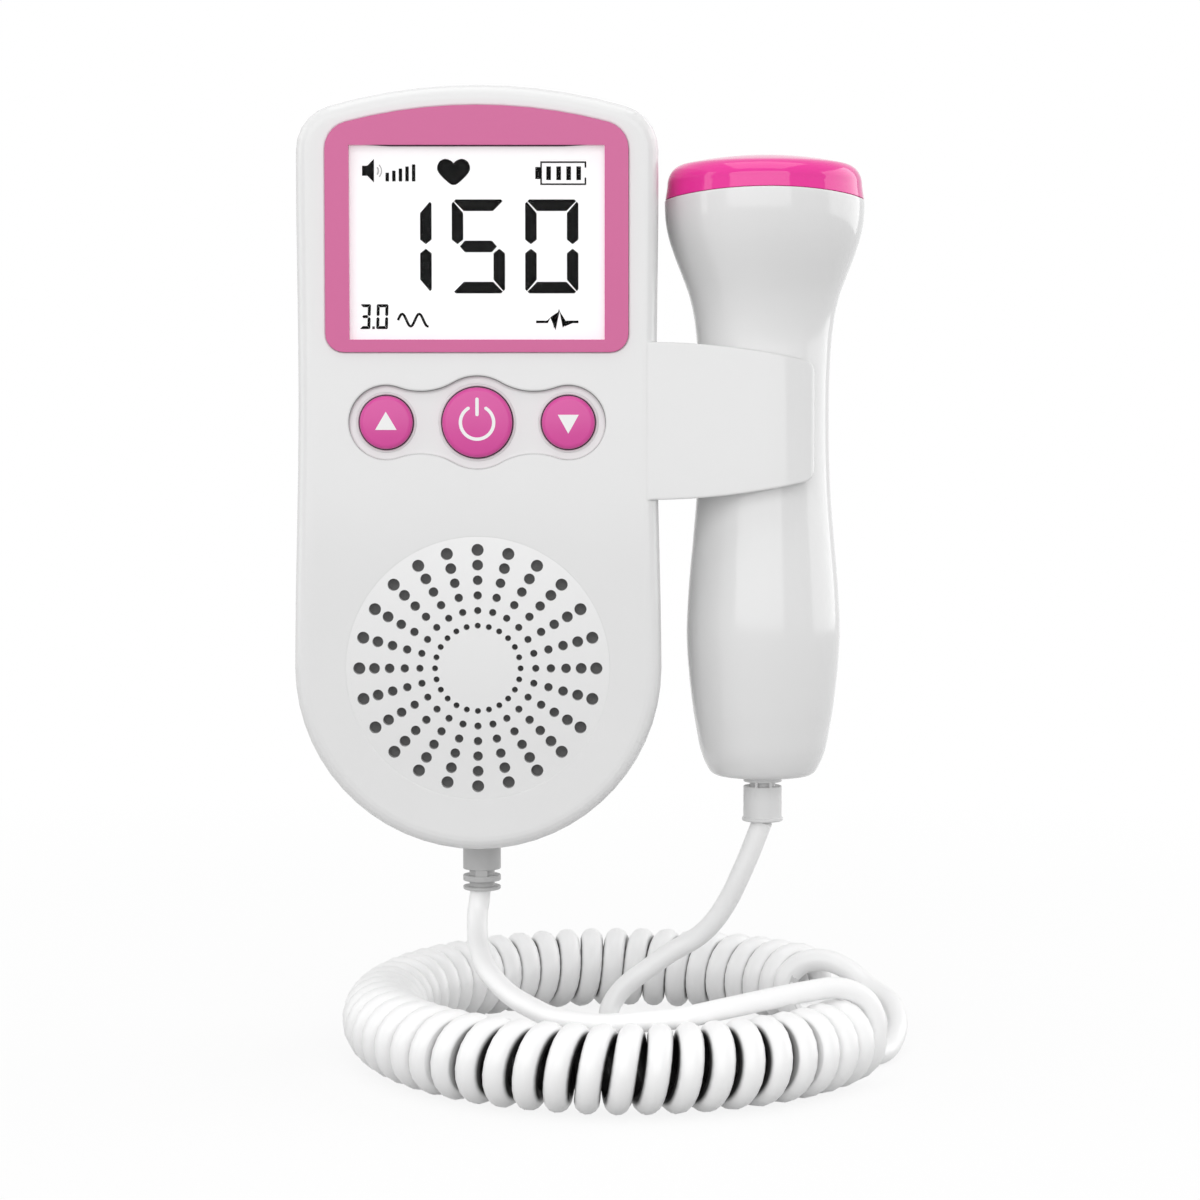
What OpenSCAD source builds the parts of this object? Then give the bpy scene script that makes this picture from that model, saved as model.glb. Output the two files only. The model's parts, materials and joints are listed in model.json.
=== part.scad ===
// Handheld fetal doppler monitor: a case with a display, three buttons and a speaker,
// a side holder that carries the probe, and the curly cord that joins the two.
// Millimetres. +Z is up, the face looks along -Y and the flat rear face lies at y = 0.

/* [Case] */
// Height of the case from its round bottom to the top of its arch
case_h = 135.7; // [125:0.1:150]
// Width of the case at its round lower end
case_w = 65.4; // [63:0.1:68]
// Depth of the case from its rear face to its front face
case_d = 34; // [33:0.5:40]
// How much narrower each side is at the upper corners than at the lower end
case_taper = 0.7; // [0:0.1:1]
// How far each side pulls in at its waist
case_waist = 0.55; // [0:0.05:0.8]
// Radius of the arch along the top
case_top_r = 95; // [80:1:120]
// Radius of the two upper corners in front view
case_corner_r = 8; // [6:0.5:11]
// Thickness of the case walls
case_wall = 2; // [1.6:0.1:2.4]
// Rounding of the edge round the front face
case_front_edge = 2.5; // [2:0.1:4]
// Rounding of the edge round the rear face
case_rear_edge = 2.5; // [2.1:0.1:2.6]
// Depth of the rear shell, from the rear face to the seam
seam_d = 17; // [16:0.5:18]
// Height of the lip inside the seam
seam_lip_h = 1.6; // [1:0.1:3]
// Thickness of the lip inside the seam
seam_lip_t = 0.8; // [0.6:0.1:1]

/* [Display] */
// Width of the coloured frame round the display
bezel_w = 53.4; // [51:0.1:56]
// Distance from the top of the case to the top of the frame
bezel_top_gap = 3.75; // [3:0.05:6]
// Height of the frame from its lower edge to the top of its arch
bezel_h = 43.25; // [42:0.05:45]
// Height of the frame above the face
bezel_proud = 0.5; // [0.2:0.1:1]
// Depth of the seat of the frame in the face
bezel_seat = 1.2; // [1:0.1:1.4]
// Radius of the two lower corners of the frame
bezel_low_r = 3.2; // [2:0.1:5]
// Radius of the two upper corners of the frame
bezel_top_r = 4.8; // [3:0.1:5]
// Width of the window in the frame
window_w = 45; // [42:0.1:46]
// Height of the window in the frame
window_h = 34.1; // [32:0.1:35]
// Distance from the lower edge of the frame to the window
window_low_gap = 2.2; // [2:0.1:3]
// Thickness of the clear window
window_t = 0.9; // [0.6:0.1:1.1]
// How far the display reaches past the window on every side
lcd_border = 1; // [0.6:0.1:1.2]
// Thickness of the display
lcd_t = 2.2; // [1.8:0.1:2.6]
// Thickness of the backlight behind the display
backlight_t = 2; // [1.5:0.1:2.5]

/* [Buttons] */
// Radius of the power button
power_r = 6.5; // [5.5:0.1:7]
// Radius of each volume button
volume_r = 4.85; // [4:0.05:5.2]
// Distance from the power button to each volume button
button_pitch = 16.1; // [15:0.1:18]
// Distance from the lower edge of the frame to the button centres
button_drop = 12.4; // [11.5:0.1:14]
// Gap round each button
button_gap = 0.15; // [0.1:0.05:0.3]
// Travel of each button
button_travel = 0.6; // [0.3:0.05:0.8]
// Height of the buttons above the face
button_proud = 0.7; // [0.3:0.1:1.2]
// Width of the bevel round each button
button_bevel = 0.8; // [0.4:0.1:1.2]
// Width of the recess outside each button
button_moat = 1.75; // [1.2:0.05:2]
// Depth of the recess
button_recess = 0.7; // [0.3:0.1:1]
// Radius of the hollow blends between the lobes of the recess
recess_blend_r = 11.5; // [8:0.5:14]

/* [Speaker] */
// Radius of the grille insert
grille_r = 23.2; // [22.9:0.1:25]
// Spokes of holes in the grille
grille_spokes = 24; // [18:1:26]
// Holes in each spoke
grille_rows = 6; // [4:1:6]
// Distance of the first hole of a spoke from the centre
grille_first_r = 7.6; // [7:0.1:9]
// Distance between the holes of a spoke
grille_step = 2.69; // [2.4:0.01:2.7]
// Radius of the first hole of a spoke
grille_hole_r = 0.53; // [0.4:0.01:0.6]
// Growth of the radius from hole to hole
grille_hole_growth = 0.11; // [0.05:0.01:0.12]
// Depth of the flange of the grille
grille_flange_t = 1.2; // [1:0.1:1.4]
// Thickness of the dust cloth behind the grille
cloth_t = 0.4; // [0.3:0.1:0.6]
// Radius of the speaker magnet
magnet_r = 9.5; // [8:0.1:12]
// Depth of the speaker
speaker_d = 11.5; // [9:0.1:12]

/* [Batteries] */
// Radius of an AA cell
cell_r = 7.2; // [7:0.05:7.25]
// Length of an AA cell with its nub
cell_l = 50.5; // [49:0.1:50.5]
// Height of the middle of the cells above the middle of the case
cell_z = 10; // [4:0.5:12]
// Room round the cells
cell_gap = 0.3; // [0.2:0.05:0.5]
// Length of the contact springs
spring_l = 3.6; // [3:0.1:5]
// Thickness of the contact plates
contact_t = 0.4; // [0.3:0.1:0.6]
// Wall thickness of the battery compartment
bay_wall = 1.4; // [1.2:0.1:1.8]
// Thickness of the battery door
door_t = 1.8; // [1.4:0.1:1.8]
// How far the door reaches past the compartment
door_border = 2.2; // [2:0.1:3]
// Gap round the door
door_gap = 0.25; // [0.15:0.05:0.4]
// Radius of the hinge pins of the door
door_pin_r = 0.5; // [0.4:0.05:0.55]
// Length of the hinge pins of the door
door_pin_l = 1.4; // [1:0.1:2]

/* [Boards and fasteners] */
// Thickness of the boards
board_t = 1.6; // [1:0.1:1.6]
// Thickness of the rubber keypad
keypad_t = 1; // [0.8:0.1:1.2]
// Radius of the shank of a case screw
screw_r = 1.25; // [1:0.05:1.4]
// Radius of the head of a case screw
screw_head_r = 2.5; // [2.2:0.1:2.7]
// Thickness of the head of a case screw
screw_head_t = 1.8; // [1.4:0.1:2.4]
// Length of the shank of a case screw
screw_l = 18; // [16:0.5:20]
// Depth of the screw heads below the rear face
screw_sink = 4; // [3:0.1:5]
// Distance of the case screws from the middle of the case
screw_x = 26.8; // [26.6:0.1:27]
// Height of the upper case screws
screw_top_z = 46; // [40:0.5:50]
// Height of the lower case screws
screw_low_z = -14; // [-18:0.5:-13]
// Radius of a board screw
board_screw_r = 0.9; // [0.7:0.05:1]
// Radius of the bore of the headphone socket
jack_r = 1.8; // [1.75:0.01:1.85]
// Depth of the bore of the headphone socket
jack_l = 14; // [12:0.5:15]
// Distance of the headphone socket from the middle of the case
jack_x = -17; // [-20:0.5:-14]

/* [Holder] */
// Height of the holder where it leaves the case
holder_h = 27.9; // [24:0.1:30]
// Radius of the curved upper and lower edges of the holder
holder_edge_r = 126; // [110:1:200]
// How far the middle of the holder lies above the button centres
holder_rise = 0.25; // [0:0.05:1]
// Thickness of the wall round the probe
holder_wall = 3; // [2.4:0.1:3.2]
// Gap between the holder and the neck of the probe
holder_gap = 0.2; // [0.15:0.05:0.4]
// Angle from straight ahead to the free end of the holder
holder_wrap = 30; // [20:1:40]
// Radius of the corners of the free end
holder_corner_r = 2.5; // [1.5:0.1:4]
// How far the web of the holder reaches behind the probe's axis
holder_web_back = 8; // [6:0.5:10]

/* [Probe] */
// Length of the probe with its cap
probe_l = 113.2; // [110:0.1:118]
// Height of the top of the probe above the middle of the case
probe_top_z = 56.5; // [55:0.1:58]
// Radius of the probe at its head
head_r = 18; // [17:0.1:18.4]
// Radius of the probe at its neck
neck_r = 11.65; // [11:0.05:12]
// How much the neck widens at the ends of the holder
neck_flare = 0.43; // [0.2:0.01:0.6]
// Radius of the probe at its grip
grip_r = 13.9; // [13:0.1:14.5]
// Radius of the probe at its tail
tail_r = 10; // [9.5:0.1:11]
// Radius of the edge round the tail
tail_round = 2.2; // [1.5:0.1:3]
// Height of the widest part of the grip above the tail
grip_at = 27; // [24:0.5:30]
// Height of the lower end of the neck above the tail
neck_at = 60; // [56:0.5:62]
// Height of the upper end of the neck above the tail
flare_at = 80.5; // [77:0.5:81]
// Height at which the head reaches its full width
head_at = 104; // [101:0.5:105]
// Wall thickness of the probe
probe_wall = 1.8; // [1.4:0.1:2]
// Height of the coloured cap above its seam
cap_h = 7.6; // [7:0.1:9]
// Gap between the head of the probe and the side of the case
probe_gap = 1.45; // [1:0.05:3]
// How far the side of the cap leans in
cap_taper = 0.45; // [0.2:0.05:0.8]
// Radius of the shoulder of the cap
cap_shoulder_r = 3; // [2:0.1:4]
// Radius of the crown of the cap
cap_crown_r = 70; // [60:1:120]
// Radius of the transducer discs
crystal_r = 11; // [9:0.1:12]
// Thickness of the transducer discs
crystal_t = 1.2; // [0.8:0.1:2]
// Thickness of the backing disc
backing_t = 6; // [4:0.1:7]
// Width of the probe's circuit board
probe_board_w = 15; // [12:0.5:16]
// Length of the probe's circuit board
probe_board_l = 55; // [50:1:58]

/* [Cord] */
// Diameter of the cord
cord_d = 3.9; // [3.5:0.1:4.2]
// Outer diameter of the curly stretch
curl_d = 15.5; // [14:0.1:16]
// Radius of the cord glands
gland_r = 3.4; // [3.2:0.1:4]
// Length of the case gland below the case
case_gland_l = 9.9; // [8:0.1:12]
// Length of the probe gland below the probe
probe_gland_l = 7.7; // [6:0.1:10]
// Width of the grooves that let a gland flex
gland_groove = 1.1; // [0.8:0.1:1.6]

/* [Hidden] */

fn = 64;
eps = 0.01;
far = 200;
touch = 0.05;

// Heights and depths that several pieces share
top_z = case_h / 2;
low_r = case_w / 2;
low_z = low_r - case_h / 2;
face_y = -case_d;
inner_y = face_y + case_wall;
seam_y = -seam_d;
upper_r = low_r - case_taper;

// The corner circle touches the straight side and the arch
corner_x = upper_r - case_corner_r;
arch_z = top_z - case_top_r;
corner_z = arch_z + sqrt(pow(case_top_r - case_corner_r, 2) - corner_x * corner_x);
corner_a = atan2(corner_z - arch_z, corner_x);

// Display stack, from the face inwards
bezel_top_z = top_z - bezel_top_gap;
bezel_low_z = bezel_top_z - bezel_h;
bezel_front_y = face_y - bezel_proud;
bezel_back_y = face_y + bezel_seat;
window_low_z = bezel_low_z + window_low_gap;
window_mid_z = window_low_z + window_h / 2;
lcd_w = window_w + 2 * lcd_border;
lcd_h = window_h + 2 * lcd_border;
lcd_low_z = window_low_z - lcd_border;
lcd_gap = 0.2;
backlight_y = bezel_back_y + lcd_t;
board_y = backlight_y + backlight_t;

// Buttons
button_z = bezel_low_z - button_drop;
button_front_y = face_y - button_proud;
stem_y = board_y - keypad_t - button_travel - touch;
flange_t = 0.8;
flange_lip = 0.9;
stem_r = 2.6;

// Speaker stack
grille_plug_r = grille_r - 0.7;
speaker_r = grille_plug_r - touch;
speaker_y = inner_y + cloth_t;
speaker_flange_t = 1.4;
speaker_rib_t = 1.3;
speaker_rib_h = 3;

// Battery compartment
cell_x = cell_r + cell_gap / 2;
cell_seat = contact_t + spring_l;
nub_r = 2.75;
nub_l = 1.2;
bay_w = 4 * cell_r + 3 * cell_gap;
bay_l = cell_l + spring_l + 2 * contact_t + cell_gap;
bay_low_z = cell_z - bay_l / 2;
bay_top_z = cell_z + bay_l / 2;
door_floor_y = -door_t - 0.2;
cell_y = door_floor_y - cell_gap - cell_r;
bay_front_y = cell_y - cell_r - cell_gap;
door_w = bay_w + 2 * door_border;
door_low_z = bay_low_z - door_border;
door_top_z = bay_top_z + door_border;
door_axis_y = -door_t / 2;
door_axis_z = door_top_z - door_t / 2;
ledge_t = 1.2;
ledge_w = 1.6;
scoop_r = 5;
grip_groove_w = 1;
grip_groove_l = 16;

// Main board and what it carries
boss_r = 2.8;
board_gap = 1.2;
main_board_w = 2 * (screw_x - boss_r - 0.4);
main_board_low_z = screw_low_z + boss_r + board_gap;
post_r = 2.2;
post_x = main_board_w / 2 - 3;
post_top_z = button_z + power_r + button_moat + 1;
post_low_z = main_board_low_z + 3;
board_screw_y = inner_y + 0.6;
board_screw_head_r = 1.8;
board_screw_head_t = 1.2;
// Components on the back of the board: corner x and z, width, height, thickness
chips = [
    [-6, 2, 12, 12, 1.6], [6, 26, 8, 6, 1.2], [-2, 36, 5, 10, 2.2],
    for (i = [0 : 4]) [-18, 4 * i, 2, 2, 1]
];
jack_body = 6.4;
jack_y = board_y + board_t + jack_body / 2;
jack_collar_r = 2.9;
jack_collar_l = 5;
jack_top_z = arch_z + sqrt(case_top_r * case_top_r - jack_x * jack_x) - 0.4;

// Case screws
head_post_r = screw_head_r + 1;
screw_head_y = -screw_sink;
screw_seat_y = screw_head_y - screw_head_t;
screw_tip_y = screw_seat_y - screw_l;
screw_gap = 0.15;
slot_l = 3;
slot_w = 0.6;
slot_d = 0.9;

// Probe: its axis leaves the head clear of the case, and its front touches the holder's front plate
probe_x = upper_r + probe_gap + head_r;
holder_r = neck_r + neck_flare + holder_gap;
probe_y = face_y + holder_wall + holder_r;
probe_low_z = probe_top_z - probe_l;
head_seam_z = probe_l - cap_h;
cap_skirt_l = 3;
cap_wall = 1.5;
skirt_gap = 0.15;
cap_hollow_h = cap_h - 3.2;
skirt_r = head_r - probe_wall - skirt_gap;
probe_board_at = grip_at + 1;
probe_post_r = 1.6;
// Components on the front of the probe's board: corner x and z, width, height, thickness
probe_chips = [for (i = [0 : 2]) [-3, 8 + 14 * i, 6, 6, 1.4]];
holder_z = button_z + holder_rise;
holder_root_x = upper_r - case_wall;

// Glands
gland_y = seam_y;
gland_flange_r = gland_r + 1.7;
gland_flange_t = 1.6;
gland_flange_z = low_z - sqrt(pow(low_r - case_wall, 2) - pow(gland_flange_r, 2)) + touch;
case_gland_z = -case_h / 2 - case_gland_l;
probe_gland_z = probe_low_z - probe_gland_l;

// Curly ring: an oval that lies flat below the case
ring_x = 26.3;
ring_y = -14;
ring_rx = 44.5;
ring_ry = 48;
ring_z = -101.05;
ring_from = -28;
ring_to = -324;
ring_steps = 40;

// Route of the cord from the case gland to the front right end of the ring
monitor_lead = [
    [0, -17, case_gland_z - touch], [0, -17, -79.5], [-0.4, -17.4, -81.6], [-0.8, -19.5, -84.5], [-0.3, -23, -87.2],
    [1, -28, -89.8], [3.4, -33, -91.8], [6.4, -38, -93.4], [10.1, -43, -94.5],
    [14, -48, -95.1], [22, -54, -95], [29, -55, -94.3], [36, -54.5, -93.7],
    [43, -52, -92.7], [50, -48, -92], [57.5, -43.4, -91.4], [63, -40.4, -91.2],
    [67, -39, -92.3], [70, -38, -94.6], [71.6, -37, -98], [71, -37, -101.4]
];
// Route from the back right end of the ring, round its outside and across the floor, to the probe
probe_lead = [
    [64.7, 15.8, -96], [68.8, 11.5, -97.6], [72.8, 6, -99.8], [75.8, -1, -102.3],
    [76.6, -8, -104.9], [75.4, -14.5, -106.6], [72.4, -20, -106.85], [67.8, -23.8, -106.85],
    [62, -25.6, -106.85], [55, -26, -106.85], [48, -25, -106.85], [41, -23, -106.85],
    [34.5, -20.5, -106.85], [29, -17.5, -106.85], [25.2, -14, -106], [23.4, -11.3, -103.5],
    [23.8, -9.6, -100.3], [26.5, -9, -96.8], [30.5, -9.5, -93.6], [35, -10.5, -90.2],
    [39.9, -12, -87], [43.2, -13.5, -83.7], [45.9, -15, -79.9], [47.9, -16.5, -76],
    [49.8, -17.8, -71.8], [probe_x, probe_y, -67.5], [probe_x, probe_y, probe_gland_z - touch]
];

// ---------------------------------------------------------------- outlines

function polar(r, a) = [r * cos(a), r * sin(a)];

// Half width of the case at a share t of the way up its side
function side_x(t) = low_r - case_taper * t - case_waist * pow(sin(180 * t), 2);

// Front view of the case, moved inwards by inset, from its lowest point and anticlockwise
function case_outline(inset) = [
    for (a = [-90 : 6 : 0]) [0, low_z] + polar(low_r - inset, a),
    for (t = [0.125 : 0.125 : 0.875])
        [side_x(t) - inset, low_z + (corner_z - low_z) * t],
    for (t = [0 : 0.2 : 1]) [corner_x, corner_z] + polar(case_corner_r - inset, corner_a * t),
    for (t = [0.1 : 0.1 : 0.9])
        [0, arch_z] + polar(case_top_r - inset, corner_a + (180 - 2 * corner_a) * t),
    for (t = [1 : -0.2 : 0])
        [-corner_x, corner_z] + polar(case_corner_r - inset, 180 - corner_a * t),
    for (t = [0.875 : -0.125 : 0.125])
        [inset - side_x(t), low_z + (corner_z - low_z) * t],
    for (a = [180 : 6 : 264]) [0, low_z] + polar(low_r - inset, a)
];

// Depth and inset of each level of a rounded edge of radius r that ends in a face at y
function edge_levels(y, r, side, steps = 5) = [
    for (i = [0 : steps]) let (a = 90 * i / steps) [y - side * r * (1 - sin(a)), r * (1 - cos(a))]
];

// Closed solid through case outlines: levels is a list of [y, inset], from front to rear
module case_loft(levels) {
    rings = [for (l = levels) [for (p = case_outline(l[1])) [p[0], l[0], p[1]]]];
    n = len(rings[0]);
    m = len(rings);
    walls = [
        for (k = [0 : m - 2], i = [0 : n - 1]) let (j = (i + 1) % n)
            [k * n + i, k * n + j, (k + 1) * n + j, (k + 1) * n + i]
    ];
    front = [[for (i = [n : -1 : 1]) i % n]];
    rear = [[for (i = [0 : n - 1]) (m - 1) * n + i]];
    polyhedron([for (r = rings) each r], concat(front, walls, rear), convexity = 6);
}

function reversed(list) = [for (i = [len(list) - 1 : -1 : 0]) list[i]];

// Outer form and hollow of the case, front half and rear half
module front_form() {
    case_loft(concat(reversed(edge_levels(face_y, case_front_edge, -1)), [[seam_y, 0]]));
}

module rear_form() {
    case_loft(concat([[seam_y, 0]], edge_levels(0, case_rear_edge, 1)));
}

module front_hollow() {
    edge = max(case_front_edge - case_wall, 0.5);
    levels = reversed(edge_levels(inner_y, edge, -1, 2));
    case_loft(concat(
        [for (l = levels) [l[0], l[1] + case_wall]], [[seam_y + eps, case_wall]]));
}

module rear_hollow() {
    edge = max(case_rear_edge - case_wall, 0.5);
    levels = edge_levels(-case_wall, edge, 1, 3);
    case_loft(concat([[seam_y - eps, case_wall]], [for (l = levels) [l[0], l[1] + case_wall]]));
}

// Runs a child that is drawn in front view back from y by depth
module from_front(y, depth) {
    translate([0, y + depth, 0]) rotate([90, 0, 0]) linear_extrude(depth) children();
}

// Round bar along Y
module y_rod(r, y, depth, x = 0, z = 0) {
    translate([x, y, z]) rotate([-90, 0, 0]) cylinder(r = r, h = depth, $fn = fn);
}

module z_rod(r, z, height, x = 0, y = 0) {
    translate([x, y, z]) cylinder(r = r, h = height, $fn = fn);
}

module box(x, y, z) {
    translate([x[0], y[0], z[0]]) cube([x[1] - x[0], y[1] - y[0], z[1] - z[0]]);
}

// Rounded rectangle from its lower left to its upper right corner
module round_rect(low, high, r) {
    w = high[0] - low[0];
    h = high[1] - low[1];
    translate(low) {
        translate([r, 0]) square([w - 2 * r, h]);
        translate([0, r]) square([w, h - 2 * r]);
        for (x = [r, w - r], y = [r, h - r]) translate([x, y]) circle(r, $fn = fn);
    }
}

// Front view of the frame round the display: its arch runs along the arch of the case
module bezel_outline(gap = 0) {
    half = bezel_w / 2 + gap;
    low = bezel_low_z - gap;
    arch_r = case_top_r - bezel_top_gap + gap;
    r = bezel_low_r + gap;
    shoulder_r = bezel_top_r + gap;
    sx = half - shoulder_r;
    sz = arch_z + sqrt(pow(arch_r - shoulder_r, 2) - sx * sx);
    a = atan2(sz - arch_z, sx);
    right = [
        for (t = [-90 : 15 : 0]) [half - r, low + r] + polar(r, t),
        for (t = [0 : 0.2 : 1]) [sx, sz] + polar(shoulder_r, a * t),
        for (t = [0.2 : 0.2 : 0.8]) [0, arch_z] + polar(arch_r, a + (90 - a) * t)
    ];
    left = [for (p = reversed(right)) [-p[0], p[1]]];
    polygon(concat(right, [[0, arch_z + arch_r]], left));
}

module window_outline(gap = 0) {
    translate([-window_w / 2 - gap, window_low_z - gap])
        square([window_w + 2 * gap, window_h + 2 * gap]);
}

// Recess of three lobes round the buttons, its waists hollowed by circles that touch the lobes
module recess_outline() {
    side_r = volume_r + button_moat;
    mid_r = power_r + button_moat;
    to_mid = mid_r + recess_blend_r;
    to_side = side_r + recess_blend_r;
    bx = (to_mid * to_mid - to_side * to_side + button_pitch * button_pitch) / (2 * button_pitch);
    bz = sqrt(to_mid * to_mid - bx * bx);
    translate([0, button_z]) {
        circle(mid_r, $fn = fn);
        for (side = [-1, 1]) {
            translate([side * button_pitch, 0]) circle(side_r, $fn = fn);
            difference() {
                polygon([[0, 0], [side * bx, bz], [side * button_pitch, 0], [side * bx, -bz]]);
                for (up = [-1, 1]) translate([side * bx, up * bz]) circle(recess_blend_r, $fn = fn);
            }
        }
    }
}

// ---------------------------------------------------------------- holder

// Plan view of the holder: a front plate flush with the face, then half a ring round the probe
module holder_plan() {
    outer = holder_r + holder_wall;
    tip_r = holder_wall / 2;
    difference() {
        union() {
            translate([holder_root_x, face_y]) square([probe_x - holder_root_x, holder_wall + 1]);
            translate([holder_root_x, face_y])
                square([probe_x - holder_root_x - holder_r / 2,
                        probe_y - face_y + holder_web_back]);
            intersection() {
                translate([probe_x, probe_y]) circle(outer, $fn = 2 * fn);
                translate([probe_x, probe_y]) rotate(holder_wrap) translate([-far, -far / 2])
                    square([far, far]);
            }
        }
        translate([probe_x, probe_y]) circle(holder_r, $fn = 2 * fn);
    }
    for (a = [holder_wrap - 90, holder_wrap + 90])
        translate([probe_x, probe_y] + polar(holder_r + tip_r, a)) circle(tip_r, $fn = fn);
}

// Front view of the holder: it narrows towards its free end, whose corners are round
module holder_front_outline() {
    half = holder_h / 2;
    end_x = probe_x + (holder_r + holder_wall / 2) * sin(holder_wrap) + holder_wall / 2;
    cx = end_x - holder_corner_r;
    drop = holder_edge_r - sqrt(pow(holder_edge_r, 2) - pow(cx - holder_root_x, 2));
    cz = half - drop - holder_corner_r;
    intersection() {
        translate([holder_root_x, holder_z + half - holder_edge_r])
            circle(holder_edge_r, $fn = 4 * fn);
        translate([holder_root_x, holder_z - half + holder_edge_r])
            circle(holder_edge_r, $fn = 4 * fn);
        union() {
            translate([holder_root_x, holder_z - half]) square([cx - holder_root_x, 2 * half]);
            translate([holder_root_x, holder_z - cz]) square([end_x - holder_root_x, 2 * cz]);
            for (up = [-1, 1])
                translate([cx, holder_z + up * cz]) circle(holder_corner_r, $fn = fn);
        }
    }
}

module holder() {
    intersection() {
        translate([0, 0, holder_z - holder_h / 2]) linear_extrude(holder_h) holder_plan();
        from_front(face_y, case_d) holder_front_outline();
    }
}

// ---------------------------------------------------------------- case

module screw_places() {
    for (x = [-screw_x, screw_x], z = [screw_low_z, screw_top_z])
        translate([x, 0, z]) children();
}

module post_places() {
    for (x = [-post_x, post_x], z = [post_low_z, post_top_z])
        translate([x, 0, z]) children();
}

// Hole for the neck of the case gland, half in each shell
module case_gland_hole() {
    z_rod(gland_r + touch, -case_h / 2 - 1, case_wall + 3, 0, gland_y);
}

// Lip of the front shell, which reaches into the rear shell along the seam
module seam_lip() {
    outer = case_wall + 2 * touch;
    difference() {
        case_loft([
            [seam_y - seam_lip_h, case_wall - touch], [seam_y - touch, case_wall - touch],
            [seam_y, outer], [seam_y + seam_lip_h, outer]
        ]);
        case_loft([
            [seam_y - seam_lip_h - 1, outer + seam_lip_t], [seam_y + seam_lip_h + 1, outer + seam_lip_t]
        ]);
        screw_places() y_rod(head_post_r + touch, seam_y - 2 * seam_lip_h, 4 * seam_lip_h);
        z_rod(gland_flange_r + 1, low_z - low_r, low_r, 0, gland_y);
    }
}

module front_shell() {
    color("white") difference() {
        union() {
            difference() {
                union() {
                    front_form();
                    intersection() {
                        holder();
                        box([0, far], [face_y - 1, seam_y], [-far, far]);
                    }
                }
                front_hollow();
            }
            screw_places() y_rod(boss_r, inner_y - touch, seam_y - inner_y + touch);
            post_places() y_rod(post_r, inner_y - touch, board_y - inner_y + touch);
            // Rib that centres the speaker
            y_rod(grille_plug_r + speaker_rib_t, inner_y - touch, speaker_rib_h, 0, low_z);
            seam_lip();
        }
        from_front(face_y - 1, bezel_seat + 1) bezel_outline(touch);
        box([-lcd_w / 2 - lcd_gap, lcd_w / 2 + lcd_gap], [face_y - 1, inner_y + 1],
            [lcd_low_z - lcd_gap, lcd_low_z + lcd_h + lcd_gap]);
        from_front(face_y - 1, button_recess + 1) recess_outline();
        y_rod(power_r + button_gap, face_y - 1, case_wall + 2, 0, button_z);
        for (side = [-1, 1])
            y_rod(volume_r + button_gap, face_y - 1, case_wall + 2, side * button_pitch, button_z);
        y_rod(grille_r + touch, face_y - 1, grille_flange_t + 1, 0, low_z);
        y_rod(grille_plug_r + touch, face_y - 1, case_wall + speaker_rib_h + 2, 0, low_z);
        screw_places() y_rod(screw_r + touch, screw_tip_y - touch, screw_l);
        post_places() y_rod(board_screw_r + touch, board_screw_y - touch, board_y - board_screw_y + 1);
        case_gland_hole();
        z_rod(jack_collar_r + touch, top_z - 10, 20, jack_x, jack_y);
    }
}

module rear_shell() {
    color("white") difference() {
        union() {
            difference() {
                union() {
                    rear_form();
                    intersection() {
                        holder();
                        box([0, far], [seam_y, 0], [-far, far]);
                    }
                }
                rear_hollow();
            }
            // Battery compartment with the ledge that the door lies on
            box([-bay_w / 2 - bay_wall, bay_w / 2 + bay_wall],
                [bay_front_y - bay_wall, door_floor_y],
                [bay_low_z - bay_wall, bay_top_z + bay_wall]);
            box([-door_w / 2 - ledge_w, door_w / 2 + ledge_w],
                [door_floor_y - ledge_t, -case_wall / 2],
                [door_low_z - ledge_w, door_top_z + ledge_w]);
            intersection() {
                rear_form();
                screw_places() y_rod(head_post_r, seam_y, seam_d);
            }
        }
        box([-bay_w / 2, bay_w / 2], [bay_front_y, 1], [bay_low_z, bay_top_z]);
        box([-door_w / 2 - door_gap, door_w / 2 + door_gap], [door_floor_y, 1],
            [door_low_z - door_gap, door_top_z + door_gap]);
        // Scoop for the finger that lifts the door, and the bores of its hinge pins
        y_rod(scoop_r, -case_wall / 2, case_wall, 0, door_low_z);
        translate([-door_w / 2 - door_pin_l - touch, door_axis_y, door_axis_z]) rotate([0, 90, 0])
            cylinder(r = door_pin_r + touch, h = door_w + 2 * (door_pin_l + touch), $fn = fn);
        screw_places() {
            y_rod(screw_head_r + screw_gap, screw_seat_y, seam_d);
            y_rod(screw_r + screw_gap, seam_y - 1, seam_d);
        }
        case_gland_hole();
    }
}

module battery_door() {
    color("white") difference() {
        union() {
            box([-door_w / 2, door_w / 2], [-door_t, 0], [door_low_z, door_axis_z]);
            translate([-door_w / 2, door_axis_y, door_axis_z]) rotate([0, 90, 0])
                cylinder(r = door_t / 2, h = door_w, $fn = fn);
            translate([-door_w / 2 - door_pin_l, door_axis_y, door_axis_z]) rotate([0, 90, 0])
                cylinder(r = door_pin_r, h = door_w + 2 * door_pin_l, $fn = fn);
        }
        for (i = [0 : 4]) let (z = door_low_z + (3 + 2 * i) * grip_groove_w)
            box([-grip_groove_l / 2, grip_groove_l / 2], [-door_t / 4, 1], [z, z + grip_groove_w]);
    }
}

module display_bezel() {
    color("hotpink") difference() {
        from_front(bezel_front_y, bezel_back_y - bezel_front_y) bezel_outline();
        from_front(bezel_front_y - 1, bezel_back_y - bezel_front_y + 2) window_outline();
    }
}

module display_window() {
    color("whitesmoke") from_front(bezel_back_y - window_t, window_t) window_outline(-touch);
}

module lcd_panel() {
    color("ghostwhite")
        box([-lcd_w / 2, lcd_w / 2], [bezel_back_y, backlight_y], [lcd_low_z, lcd_low_z + lcd_h]);
}

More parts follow.
